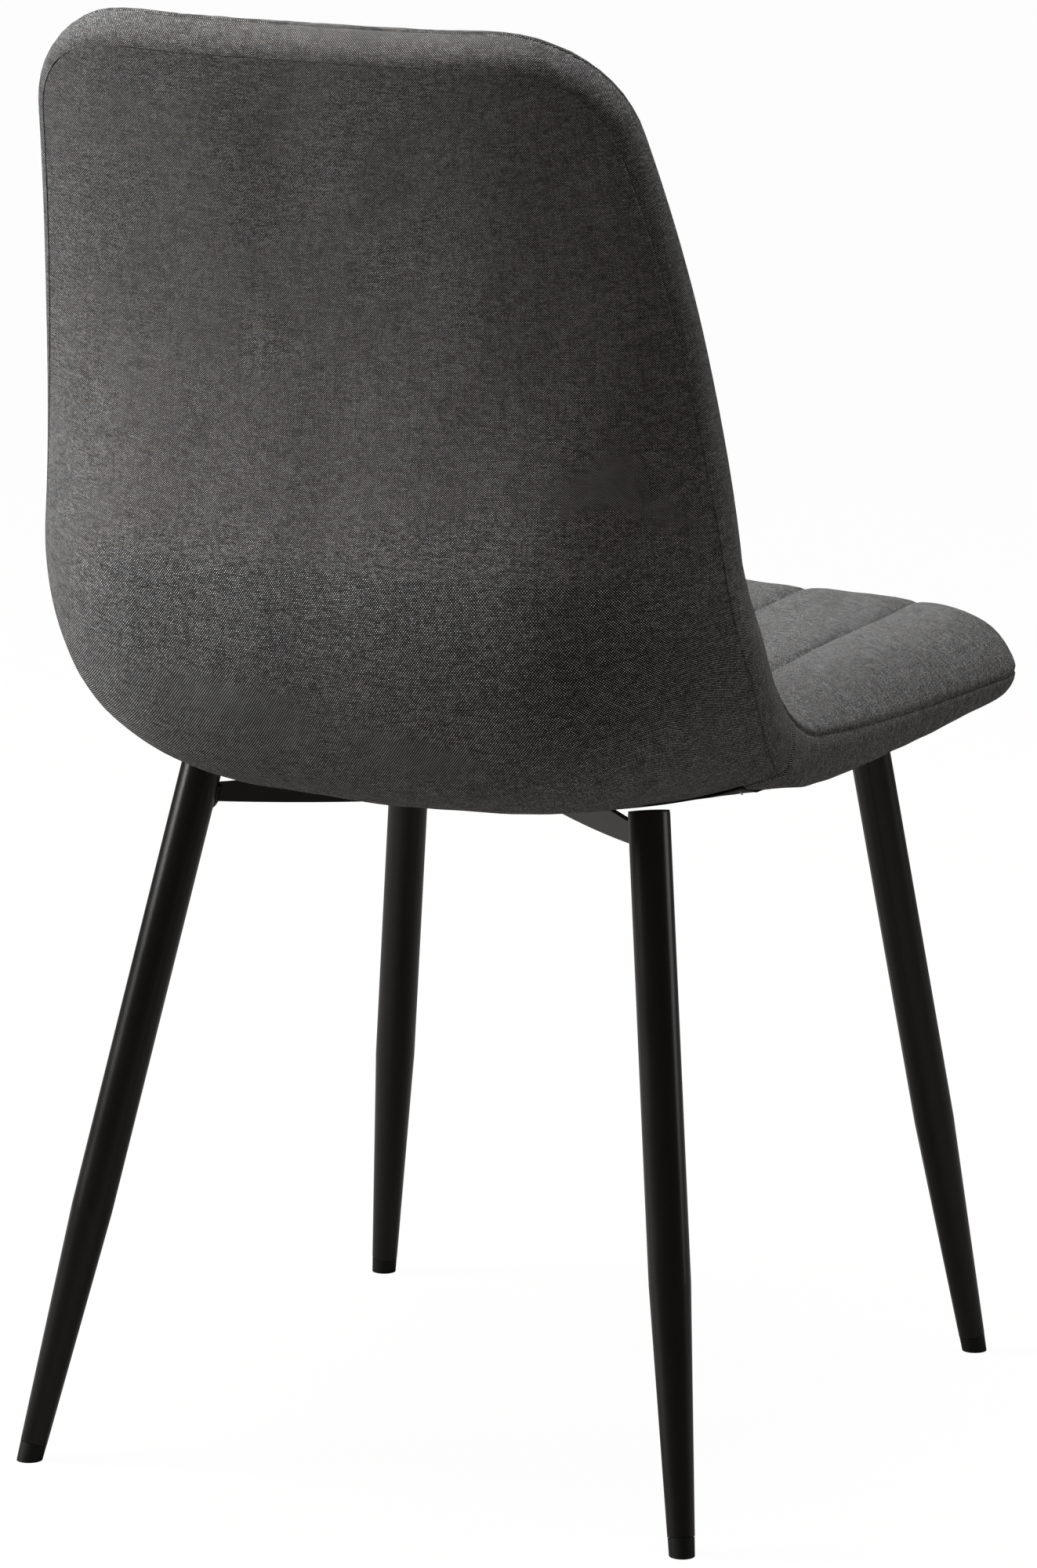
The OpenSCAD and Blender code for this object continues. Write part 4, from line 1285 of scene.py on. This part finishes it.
class RepeatTree:
    """Geometry node tree that puts a bent, round-ended wire at every point of a mesh."""

    def __init__(self, name: str, material: bpy.types.Material) -> None:
        """Builds the tree.

        Args:
            name: The tree's name.
            material: The wires' finish.
        """
        self.tree = bpy.data.node_groups.new(name, "GeometryNodeTree")
        self.inputs: dict[str, str] = {}
        face = self.tree.interface
        face.new_socket("Geometry", in_out="INPUT", socket_type="NodeSocketGeometry")
        for label in ("Length", "Rise", "Radius", "Spread"):
            made = face.new_socket(label, in_out="INPUT", socket_type="NodeSocketFloat")
            self.inputs[label] = made.identifier
        face.new_socket("Geometry", in_out="OUTPUT", socket_type="NodeSocketGeometry")
        self.source = self._node("NodeGroupInput")
        self._wire_at_points(material)

    def _node(
        self, kind: str, settings: dict | None = None, sockets: dict | None = None
    ) -> bpy.types.Node:
        """Adds a node with its properties and its input sockets."""
        made = self.tree.nodes.new(kind)
        for name, value in (settings or {}).items():
            setattr(made, name, value)
        for key, value in (sockets or {}).items():
            if isinstance(value, bpy.types.NodeSocket):
                self.tree.links.new(value, made.inputs[key])
            else:
                made.inputs[key].default_value = value
        return made

    def _maths(self, operation: str, a: object, b: object = 0.0) -> bpy.types.NodeSocket:
        """Adds a Math node."""
        return self._node("ShaderNodeMath", {"operation": operation}, {0: a, 1: b}).outputs[0]

    def _wire_at_points(self, material: bpy.types.Material) -> None:
        """Draws the wire, thins its ends, and repeats it."""
        size = self.source.outputs
        half = self._maths("MULTIPLY", size["Length"], 0.5)
        back = self._maths("MULTIPLY", size["Length"], -0.5)
        rise = self._maths("MULTIPLY", size["Rise"], 2.0)
        start, end, middle = (
            self._node("ShaderNodeCombineXYZ", None, {axis: value}).outputs[0]
            for axis, value in ((0, back), (0, half), (2, rise))
        )
        sockets = {"Resolution": 8, "Start": start, "Middle": middle, "End": end}
        bow = self._node("GeometryNodeCurveQuadraticBezier", None, sockets)
        along = self._node("GeometryNodeSplineParameter").outputs["Factor"]
        off = self._maths("SUBTRACT", self._maths("MULTIPLY", along, 2.0), 1.0)
        off = self._maths("ABSOLUTE", off)
        taper = self._maths("SUBTRACT", 1.02, self._maths("POWER", off, 7.0))
        thick = self._maths("POWER", taper, 0.5)
        sockets = {"Curve": bow.outputs[0], "Radius": thick}
        shaped = self._node("GeometryNodeSetCurveRadius", None, sockets)
        sockets = {"Resolution": 8, "Radius": size["Radius"]}
        ring = self._node("GeometryNodeCurvePrimitiveCircle", None, sockets)
        wire = self._node("GeometryNodeCurveToMesh")
        self.tree.links.new(shaped.outputs[0], wire.inputs["Curve"])
        self.tree.links.new(ring.outputs[0], wire.inputs["Profile Curve"])
        wire.inputs["Fill Caps"].default_value = True
        if "Scale" in wire.inputs:
            radius = self._node("GeometryNodeInputRadius").outputs[0]
            self.tree.links.new(radius, wire.inputs["Scale"])
        kind = {"data_type": "FLOAT_VECTOR"}
        turn = self._node("GeometryNodeInputNamedAttribute", kind, {"Name": "turn"})
        facing = self._node("FunctionNodeEulerToRotation", None, {0: turn.outputs["Attribute"]})
        low = self._maths("SUBTRACT", 1.0, size["Spread"])
        high = self._maths("ADD", 1.0, size["Spread"])
        sockets = {"Min": low, "Max": high, "Seed": 7}
        chance = self._node("FunctionNodeRandomValue", {"data_type": "FLOAT"}, sockets)
        sockets = {"Mesh": size["Geometry"]}
        spots = self._node("GeometryNodeMeshToPoints", {"mode": "VERTICES"}, sockets)
        sockets = {
            "Points": spots.outputs[0],
            "Instance": wire.outputs[0],
            "Rotation": facing.outputs[0],
            "Scale": chance.outputs["Value"],
        }
        many = self._node("GeometryNodeInstanceOnPoints", None, sockets)
        real = self._node("GeometryNodeRealizeInstances", None, {0: many.outputs[0]})
        smooth = self._node("GeometryNodeSetShadeSmooth", None, {0: real.outputs[0]})
        sockets = {0: smooth.outputs[0], "Material": material}
        painted = self._node("GeometryNodeSetMaterial", None, sockets)
        self._node("NodeGroupOutput", None, {0: painted.outputs[0]})

    def repeat(self, name: str, frames: "Frames", wire: Wire) -> bpy.types.Object:
        """Repeats the wire.

        Args:
            name: The new piece's name.
            frames: Where each wire's middle goes, and its turn.
            wire: The wire's sizes.

        Returns:
            A plain mesh object.
        """
        carrier = bpy.data.meshes.new(name + "_points")
        carrier.from_pydata(frames.places.tolist(), [], [])
        angles = [Matrix(turn.tolist()).to_euler() for turn in frames.turns]
        layer = carrier.attributes.new("turn", "FLOAT_VECTOR", "POINT")
        layer.data.foreach_set("vector", np.array(angles, np.float32).reshape(-1))
        made = bpy.data.objects.new(name, carrier)
        bpy.context.scene.collection.objects.link(made)
        modifier = made.modifiers.new("repeat", "NODES")
        modifier.node_group = self.tree
        for label, socket in self.inputs.items():
            modifier[socket] = getattr(wire, label.lower())
        graph = bpy.context.evaluated_depsgraph_get()
        plain = bpy.data.meshes.new_from_object(made.evaluated_get(graph))
        made.modifiers.remove(modifier)
        made.data = plain
        return made


@dataclass(frozen=True)
class Frames:
    """Places and their rotations, whose columns are a wire's length, its side and its rise."""

    places: Array
    turns: Array

    @classmethod
    def from_axes(cls, places: Array, length: Array, rise: Array) -> "Frames":
        """Makes frames from the direction of each wire and the side that it rises to."""
        length = length / np.linalg.norm(length, axis=-1, keepdims=True)
        rise = rise - (rise * length).sum(-1, keepdims=True) * length
        rise = rise / np.linalg.norm(rise, axis=-1, keepdims=True)
        side = np.cross(rise, length)
        return cls(places, np.stack([length, side, rise], -1))


@dataclass
class SmallWork:
    """Stitches, staples and weld beads."""

    form: ShellForm
    finishes: Finishes
    upholstery: Upholstery
    stitch_pitch: float = 0.0046

    def _on_top(self, s: Array, x: Array) -> tuple[Array, Array, Array]:
        """Points in the stitched grooves, with the directions along and out of the cloth."""
        form, work = self.form, self.upholstery
        d = form.edge_distance(s, x)
        k = work._over(s, x, d, np.zeros_like(s)) + 0.0003
        here = form.point(s, x, k)
        return here, form.point(s + NUDGE, x, k) - here, form.point(s, x, k + NUDGE) - here

    def stitches(self) -> bpy.types.Object:
        """Lays the thread of the five stitched lines."""
        form = self.form
        all_s, all_x = [], []
        for line in self.upholstery.channels.lines:
            s = np.arange(0.012, form.length - 0.010, self.stitch_pitch)
            s = s[form.edge_distance(s, np.full_like(s, line)) > 0.009]
            all_s.append(s)
            all_x.append(np.full_like(s, line))
        here, along, out = self._on_top(np.concatenate(all_s), np.concatenate(all_x))
        frames = Frames.from_axes(here, along, out)
        tree = RepeatTree("channel_stitch", self.finishes.thread)
        return tree.repeat("channel_stitches", frames, STITCH)

    def staple_places(self, count: int = 40) -> list[tuple[float, float, float]]:
        """Length, sideways place and turn of every staple under the seat."""
        form, inset = self.form, self.upholstery.under_inset + 0.005
        half = count // 2
        side = round(count * 0.36)
        ends = half - side
        end = self.upholstery.under_end
        made = []
        for i in range(count):
            sign, j = (1 if i < half else -1), i % half
            if j < side:
                s = form.front_corner + (end - 0.016 - form.front_corner) * j / (side - 1)
                made.append((s, sign * float(form.half_width(np.array([s]), inset)[0]), 0.0))
            else:
                share = 2 * (j - side + 0.5) / ends - 1
                s = inset if i < half else end - 0.005
                reach = form.half_width(np.array([max(s, form.front_corner)]), inset)[0] - 0.075
                made.append((s, share * float(reach), math.pi / 2))
        return made

    def staples(self) -> bpy.types.Object:
        """Drives the staples that hold the cloth under the seat."""
        draw = np.random.default_rng(61)
        place = np.array(self.staple_places())
        s, x = place[:, 0], place[:, 1]
        turn = place[:, 2] + draw.normal(0, 0.12, len(place))
        k = -self.upholstery._depth(s, x) - self.upholstery.gap - 0.0011
        here = self.form.point(s, x, k)
        along = self.form.point(s + NUDGE, x, k) - here
        across = self.form.point(s, x + NUDGE, k) - here
        down = here - self.form.point(s, x, k + NUDGE)
        aside, ahead = np.cos(turn - math.pi / 2), np.sin(turn + math.pi / 2)
        length = across * aside[:, None] + along * ahead[:, None]
        frames = Frames.from_axes(here, length, down)
        tree = RepeatTree("staple_wire", self.finishes.zinc)
        return tree.repeat("cloth_staples", frames, STAPLE)

    def weld_beads(self) -> bpy.types.Object:
        """Runs a rippled weld bead up both faces of every plate end and under its lower edge."""
        tree = RepeatTree("weld_ripple", self.finishes.coat)
        return tree.repeat("leg_weld_beads", FrameJoints().bead_frames(), WELD_RIPPLE)


@dataclass(frozen=True)
class FrameJoints:
    """Where the cross plates meet the legs."""

    leg_r: float = 0.0125
    plate_half: float = 0.002
    plate_low: float = 0.386
    plate_rise: float = 0.011
    joint_up: float = 0.020
    bead_pitch: float = 0.0013
    bead_lift: float = 0.0003
    bead_drop: float = 0.0012
    tube_over_top: float = 0.004
    rear: tuple = (0.216, 0.225, 0.1475, 0.1294)
    front: tuple = (0.2085, -0.2501, 0.1533, -0.1788)

    def _leg(self, ends: tuple, name: str) -> tuple[Array, Array]:
        """Foot and direction of a leg whose top lies as high as the CAD tube's."""
        foot_x, foot_y, top_x, top_y = ends
        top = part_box(name)[1].z - self.tube_over_top
        vector = np.array([top_x - foot_x, top_y - foot_y, top])
        return np.array([foot_x, foot_y, 0.0]), vector / np.linalg.norm(vector)

    def _corner(
        self, foot: Array, way: Array, into: Array, side: Array, offset: float, z: float
    ) -> Array:
        """Point at height z where a plate's face meets the tube."""
        centre = foot + way * (z / way[2])
        gap = offset - float((centre - self._joint(foot, way)) @ side)
        a = 1 - (into @ way) ** 2
        b = -2 * (into @ way) * (side @ way) * gap
        c = gap**2 * (1 - (side @ way) ** 2) - self.leg_r**2
        return centre + into * ((-b + math.sqrt(b * b - 4 * a * c)) / (2 * a)) + side * gap

    def _joint(self, foot: Array, way: Array) -> Array:
        """Point on the leg's middle line where the plate's middle plane meets it."""
        return foot + way * ((self.plate_low + self.joint_up) / way[2])

    def bead_frames(self) -> Frames:
        """Frames of every ripple of the four beads."""
        rear_foot, rear_way = self._leg(self.rear, "leg_rear_left")
        front_foot, front_way = self._leg(self.front, "leg_front_left")
        rear, front = self._joint(rear_foot, rear_way), self._joint(front_foot, front_way)
        run = np.array([-front[0] - rear[0], front[1] - rear[1], 0.0])
        into = run / np.linalg.norm(run)
        flip = np.array([-1.0, 1.0, 1.0])
        top_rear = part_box("mounting_tab_rear_left")[0].z
        top_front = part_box("mounting_tab_front_left")[0].z
        ends = []
        for foot, way, inward, top in (
            (rear_foot, rear_way, into, top_rear),
            (front_foot * flip, front_way * flip, -into, top_front),
        ):
            ends.append((foot, way, inward, top))
            ends.append((foot * flip, way * flip, inward * flip, top))
        parts = [self._bead(*end) for end in ends]
        return Frames(
            np.concatenate([p.places for p in parts]), np.concatenate([p.turns for p in parts])
        )

    def _bead(self, foot: Array, way: Array, into: Array, top: float) -> Frames:
        """Frames of one bead: up one face, under the lower edge and up the other face."""
        up = np.array([0.0, 0.0, 1.0])
        side = np.cross(up, into)
        low = self.plate_low + self.plate_rise * 0.9
        heights = np.arange(low, top - 0.001, self.bead_pitch)
        places, lengths, rises = [], [], []
        for sign in (-1.0, 1.0):
            for z in heights:
                corner = self._corner(foot, way, into, side, sign * self.plate_half, float(z))
                rise = side * sign + into
                places.append(corner + rise * self.bead_lift)
                lengths.append(side * sign - into)
                rises.append(rise)
        for step in np.linspace(-1, 1, 7):
            turn = step * math.pi / 2
            offset = self.plate_half * float(np.clip(step, -1, 1))
            corner = self._corner(foot, way, into, side, offset, low)
            aside = side * math.sin(turn) - up * math.cos(turn)
            rise = aside + into
            drop = up * self.bead_drop * math.cos(turn)
            places.append(corner - drop + rise * self.bead_lift)
            lengths.append(aside - into)
            rises.append(rise)
        return Frames.from_axes(np.array(places), np.array(lengths), np.array(rises))


# ---- studio ----


@dataclass(frozen=True)
class SoftLight:
    """A square soft light."""

    name: str
    place: tuple
    aim: tuple
    size: float
    power: float

    def add(self) -> None:
        """Puts the light into the scene, turned towards its aim."""
        data = bpy.data.lights.new(self.name, "AREA")
        data.shape, data.size, data.energy = "SQUARE", self.size, self.power
        made = bpy.data.objects.new(self.name, data)
        made.location = self.place
        way = Vector(self.aim) - Vector(self.place)
        made.rotation_euler = way.to_track_quat("-Z", "Y").to_euler()
        bpy.context.scene.collection.objects.link(made)


@dataclass(frozen=True)
class Studio:
    """Pale floor, soft light and the camera."""

    camera_place: tuple = (-2.0707, 4.4469, 1.4659)
    azimuth: float = 24.941
    elevation: float = 12.305
    roll: float = 0.4036
    lens: float = 189.47
    floor_size: float = 14.0
    floor_colour: tuple = (0.27, 0.26, 0.25)
    room_tint: tuple = (1.0, 0.92, 0.84, 1.0)
    room_light: float = 0.115
    floor_glow: float = 1.08
    glow_share: float = 0.9
    lamps: tuple = (
        SoftLight("key", (2.9, 1.3, 1.75), (0, 0.05, 0.5), 1.4, 140),
        SoftLight("top", (0.2, 0.0, 3.2), (0, 0, 0.4), 2.0, 82),
        SoftLight("front", (-2.2, -1.3, 0.9), (0, 0, 0.5), 1.2, 8),
    )

    def camera(self) -> None:
        """Sets the camera behind the chair and a little above it, towards its right side."""
        turn, tilt, roll = (math.radians(a) for a in (self.azimuth, self.elevation, self.roll))
        level = math.cos(tilt)
        back = Vector((-math.sin(turn) * level, math.cos(turn) * level, math.sin(tilt)))
        right = (-back).cross(Vector((0, 0, 1))).normalized()
        up = right.cross(-back)
        across = right * math.cos(roll) + up * math.sin(roll)
        upward = up * math.cos(roll) - right * math.sin(roll)
        data = bpy.data.cameras.new("chair_camera")
        data.lens, data.sensor_width, data.sensor_fit = self.lens, 36.0, "AUTO"
        data.clip_end = 60.0
        made = bpy.data.objects.new("chair_camera", data)
        made.matrix_world = Matrix((across, upward, back)).transposed().to_4x4()
        made.location = self.camera_place
        bpy.context.scene.collection.objects.link(made)
        bpy.context.scene.camera = made

    def floor(self) -> None:
        """Lays a plain pale floor."""
        g = ShaderGraph("studio_floor")
        grain = g.noise(g.object_place(), 3.0, 2.0)
        tone = g.scaled(self.floor_colour, grain * 0.01 + 0.995)
        pale = g.surface(Base_Color=tone, Roughness=0.9)
        sockets = {"Color": (1.0, 1.0, 1.0), "Strength": self.floor_glow}
        glow = g.node("ShaderNodeEmission", None, sockets)
        seen = g.value("ShaderNodeLightPath", None, {}, "Is Camera Ray") * self.glow_share
        sockets = {0: seen, 1: g.shader.outputs[0], 2: glow.outputs[0]}
        both = g.node("ShaderNodeMixShader", None, sockets)
        output = g.tree.nodes["Material Output"]
        g.tree.links.new(both.outputs[0], output.inputs["Surface"])
        h = self.floor_size / 2
        corners = np.array([[-h, -h, 0], [h, -h, 0], [h, h, 0], [-h, h, 0]])
        made = make_mesh("studio_floor", corners, np.array([[0, 1, 2, 3]]), pale)

    def lights(self) -> None:
        """Lights the chair from high on its left, with a weak fill."""
        scene = bpy.context.scene
        world = bpy.data.worlds.new("studio_world")
        world.use_nodes = True
        tree = world.node_tree
        dim = tree.nodes["Background"]
        dim.inputs["Color"].default_value = self.room_tint
        dim.inputs["Strength"].default_value = self.room_light
        backdrop = tree.nodes.new("ShaderNodeBackground")
        backdrop.inputs["Color"].default_value = (1, 1, 1, 1)
        seen = tree.nodes.new("ShaderNodeLightPath")
        mix = tree.nodes.new("ShaderNodeMixShader")
        tree.links.new(seen.outputs["Is Camera Ray"], mix.inputs[0])
        tree.links.new(dim.outputs[0], mix.inputs[1])
        tree.links.new(backdrop.outputs[0], mix.inputs[2])
        tree.links.new(mix.outputs[0], tree.nodes["World Output"].inputs["Surface"])
        scene.world = world
        for lamp in self.lamps:
            lamp.add()
        scene.view_settings.view_transform = "Standard"


# ---- assembly ----


def finish_cad_nodes(finishes: Finishes) -> None:
    """Gives every shown CAD node its finish in its own material slot."""
    by_slot = {
        Slot.FABRIC.value: finishes.fabric,
        Slot.FOAM.value: finishes.fabric,
        Slot.BOARD.value: finishes.plywood,
        Slot.FRAME.value: finishes.coat,
        Slot.GLIDE.value: finishes.plastic,
        Slot.PAD.value: finishes.rubber,
        Slot.ZINC.value: finishes.zinc,
        Slot.DUST.value: finishes.dust,
    }
    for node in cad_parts.values():
        for place, old in enumerate(node.data.materials):
            node.data.materials[place] = by_slot[old.name.split(".")[0]]


def attach(piece: bpy.types.Object, slot: Slot, *nodes: str) -> None:
    """Puts a piece on the chair's body, with its slot and the CAD nodes that it stands for."""
    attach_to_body(piece, BODY)
    if nodes:
        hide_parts(*nodes)
    log.info("%s: %d faces", piece.name, len(piece.data.polygons))


def main() -> None:
    """Builds the chair's looks in order."""
    logging.basicConfig(level=logging.INFO, format="%(name)s %(message)s")
    form, finishes = ShellForm(), Finishes.build()
    finish_cad_nodes(finishes)
    upholstery = Upholstery(form, finishes)
    small = SmallWork(form, finishes, upholstery)

    cushion = upholstery.cushion()
    attach(cushion, Slot.FABRIC, "inner_foam", "inner_cover")
    panel = upholstery.back_panel()
    attach(panel, Slot.FABRIC, "outer_foam", "outer_cover")
    band = upholstery.side_band()
    attach(band, Slot.FABRIC, "seat_side_band")
    under = upholstery.under_cloth(small.staple_places())
    attach(under, Slot.DUST, "dust_cover")
    attach(small.stitches(), Slot.FABRIC)
    attach(small.staples(), Slot.ZINC, "dust_cover_staples")
    attach(small.weld_beads(), Slot.FRAME)

    studio = Studio()
    studio.floor()
    studio.lights()
    studio.camera()


if __name__ == "__main__":
    main()
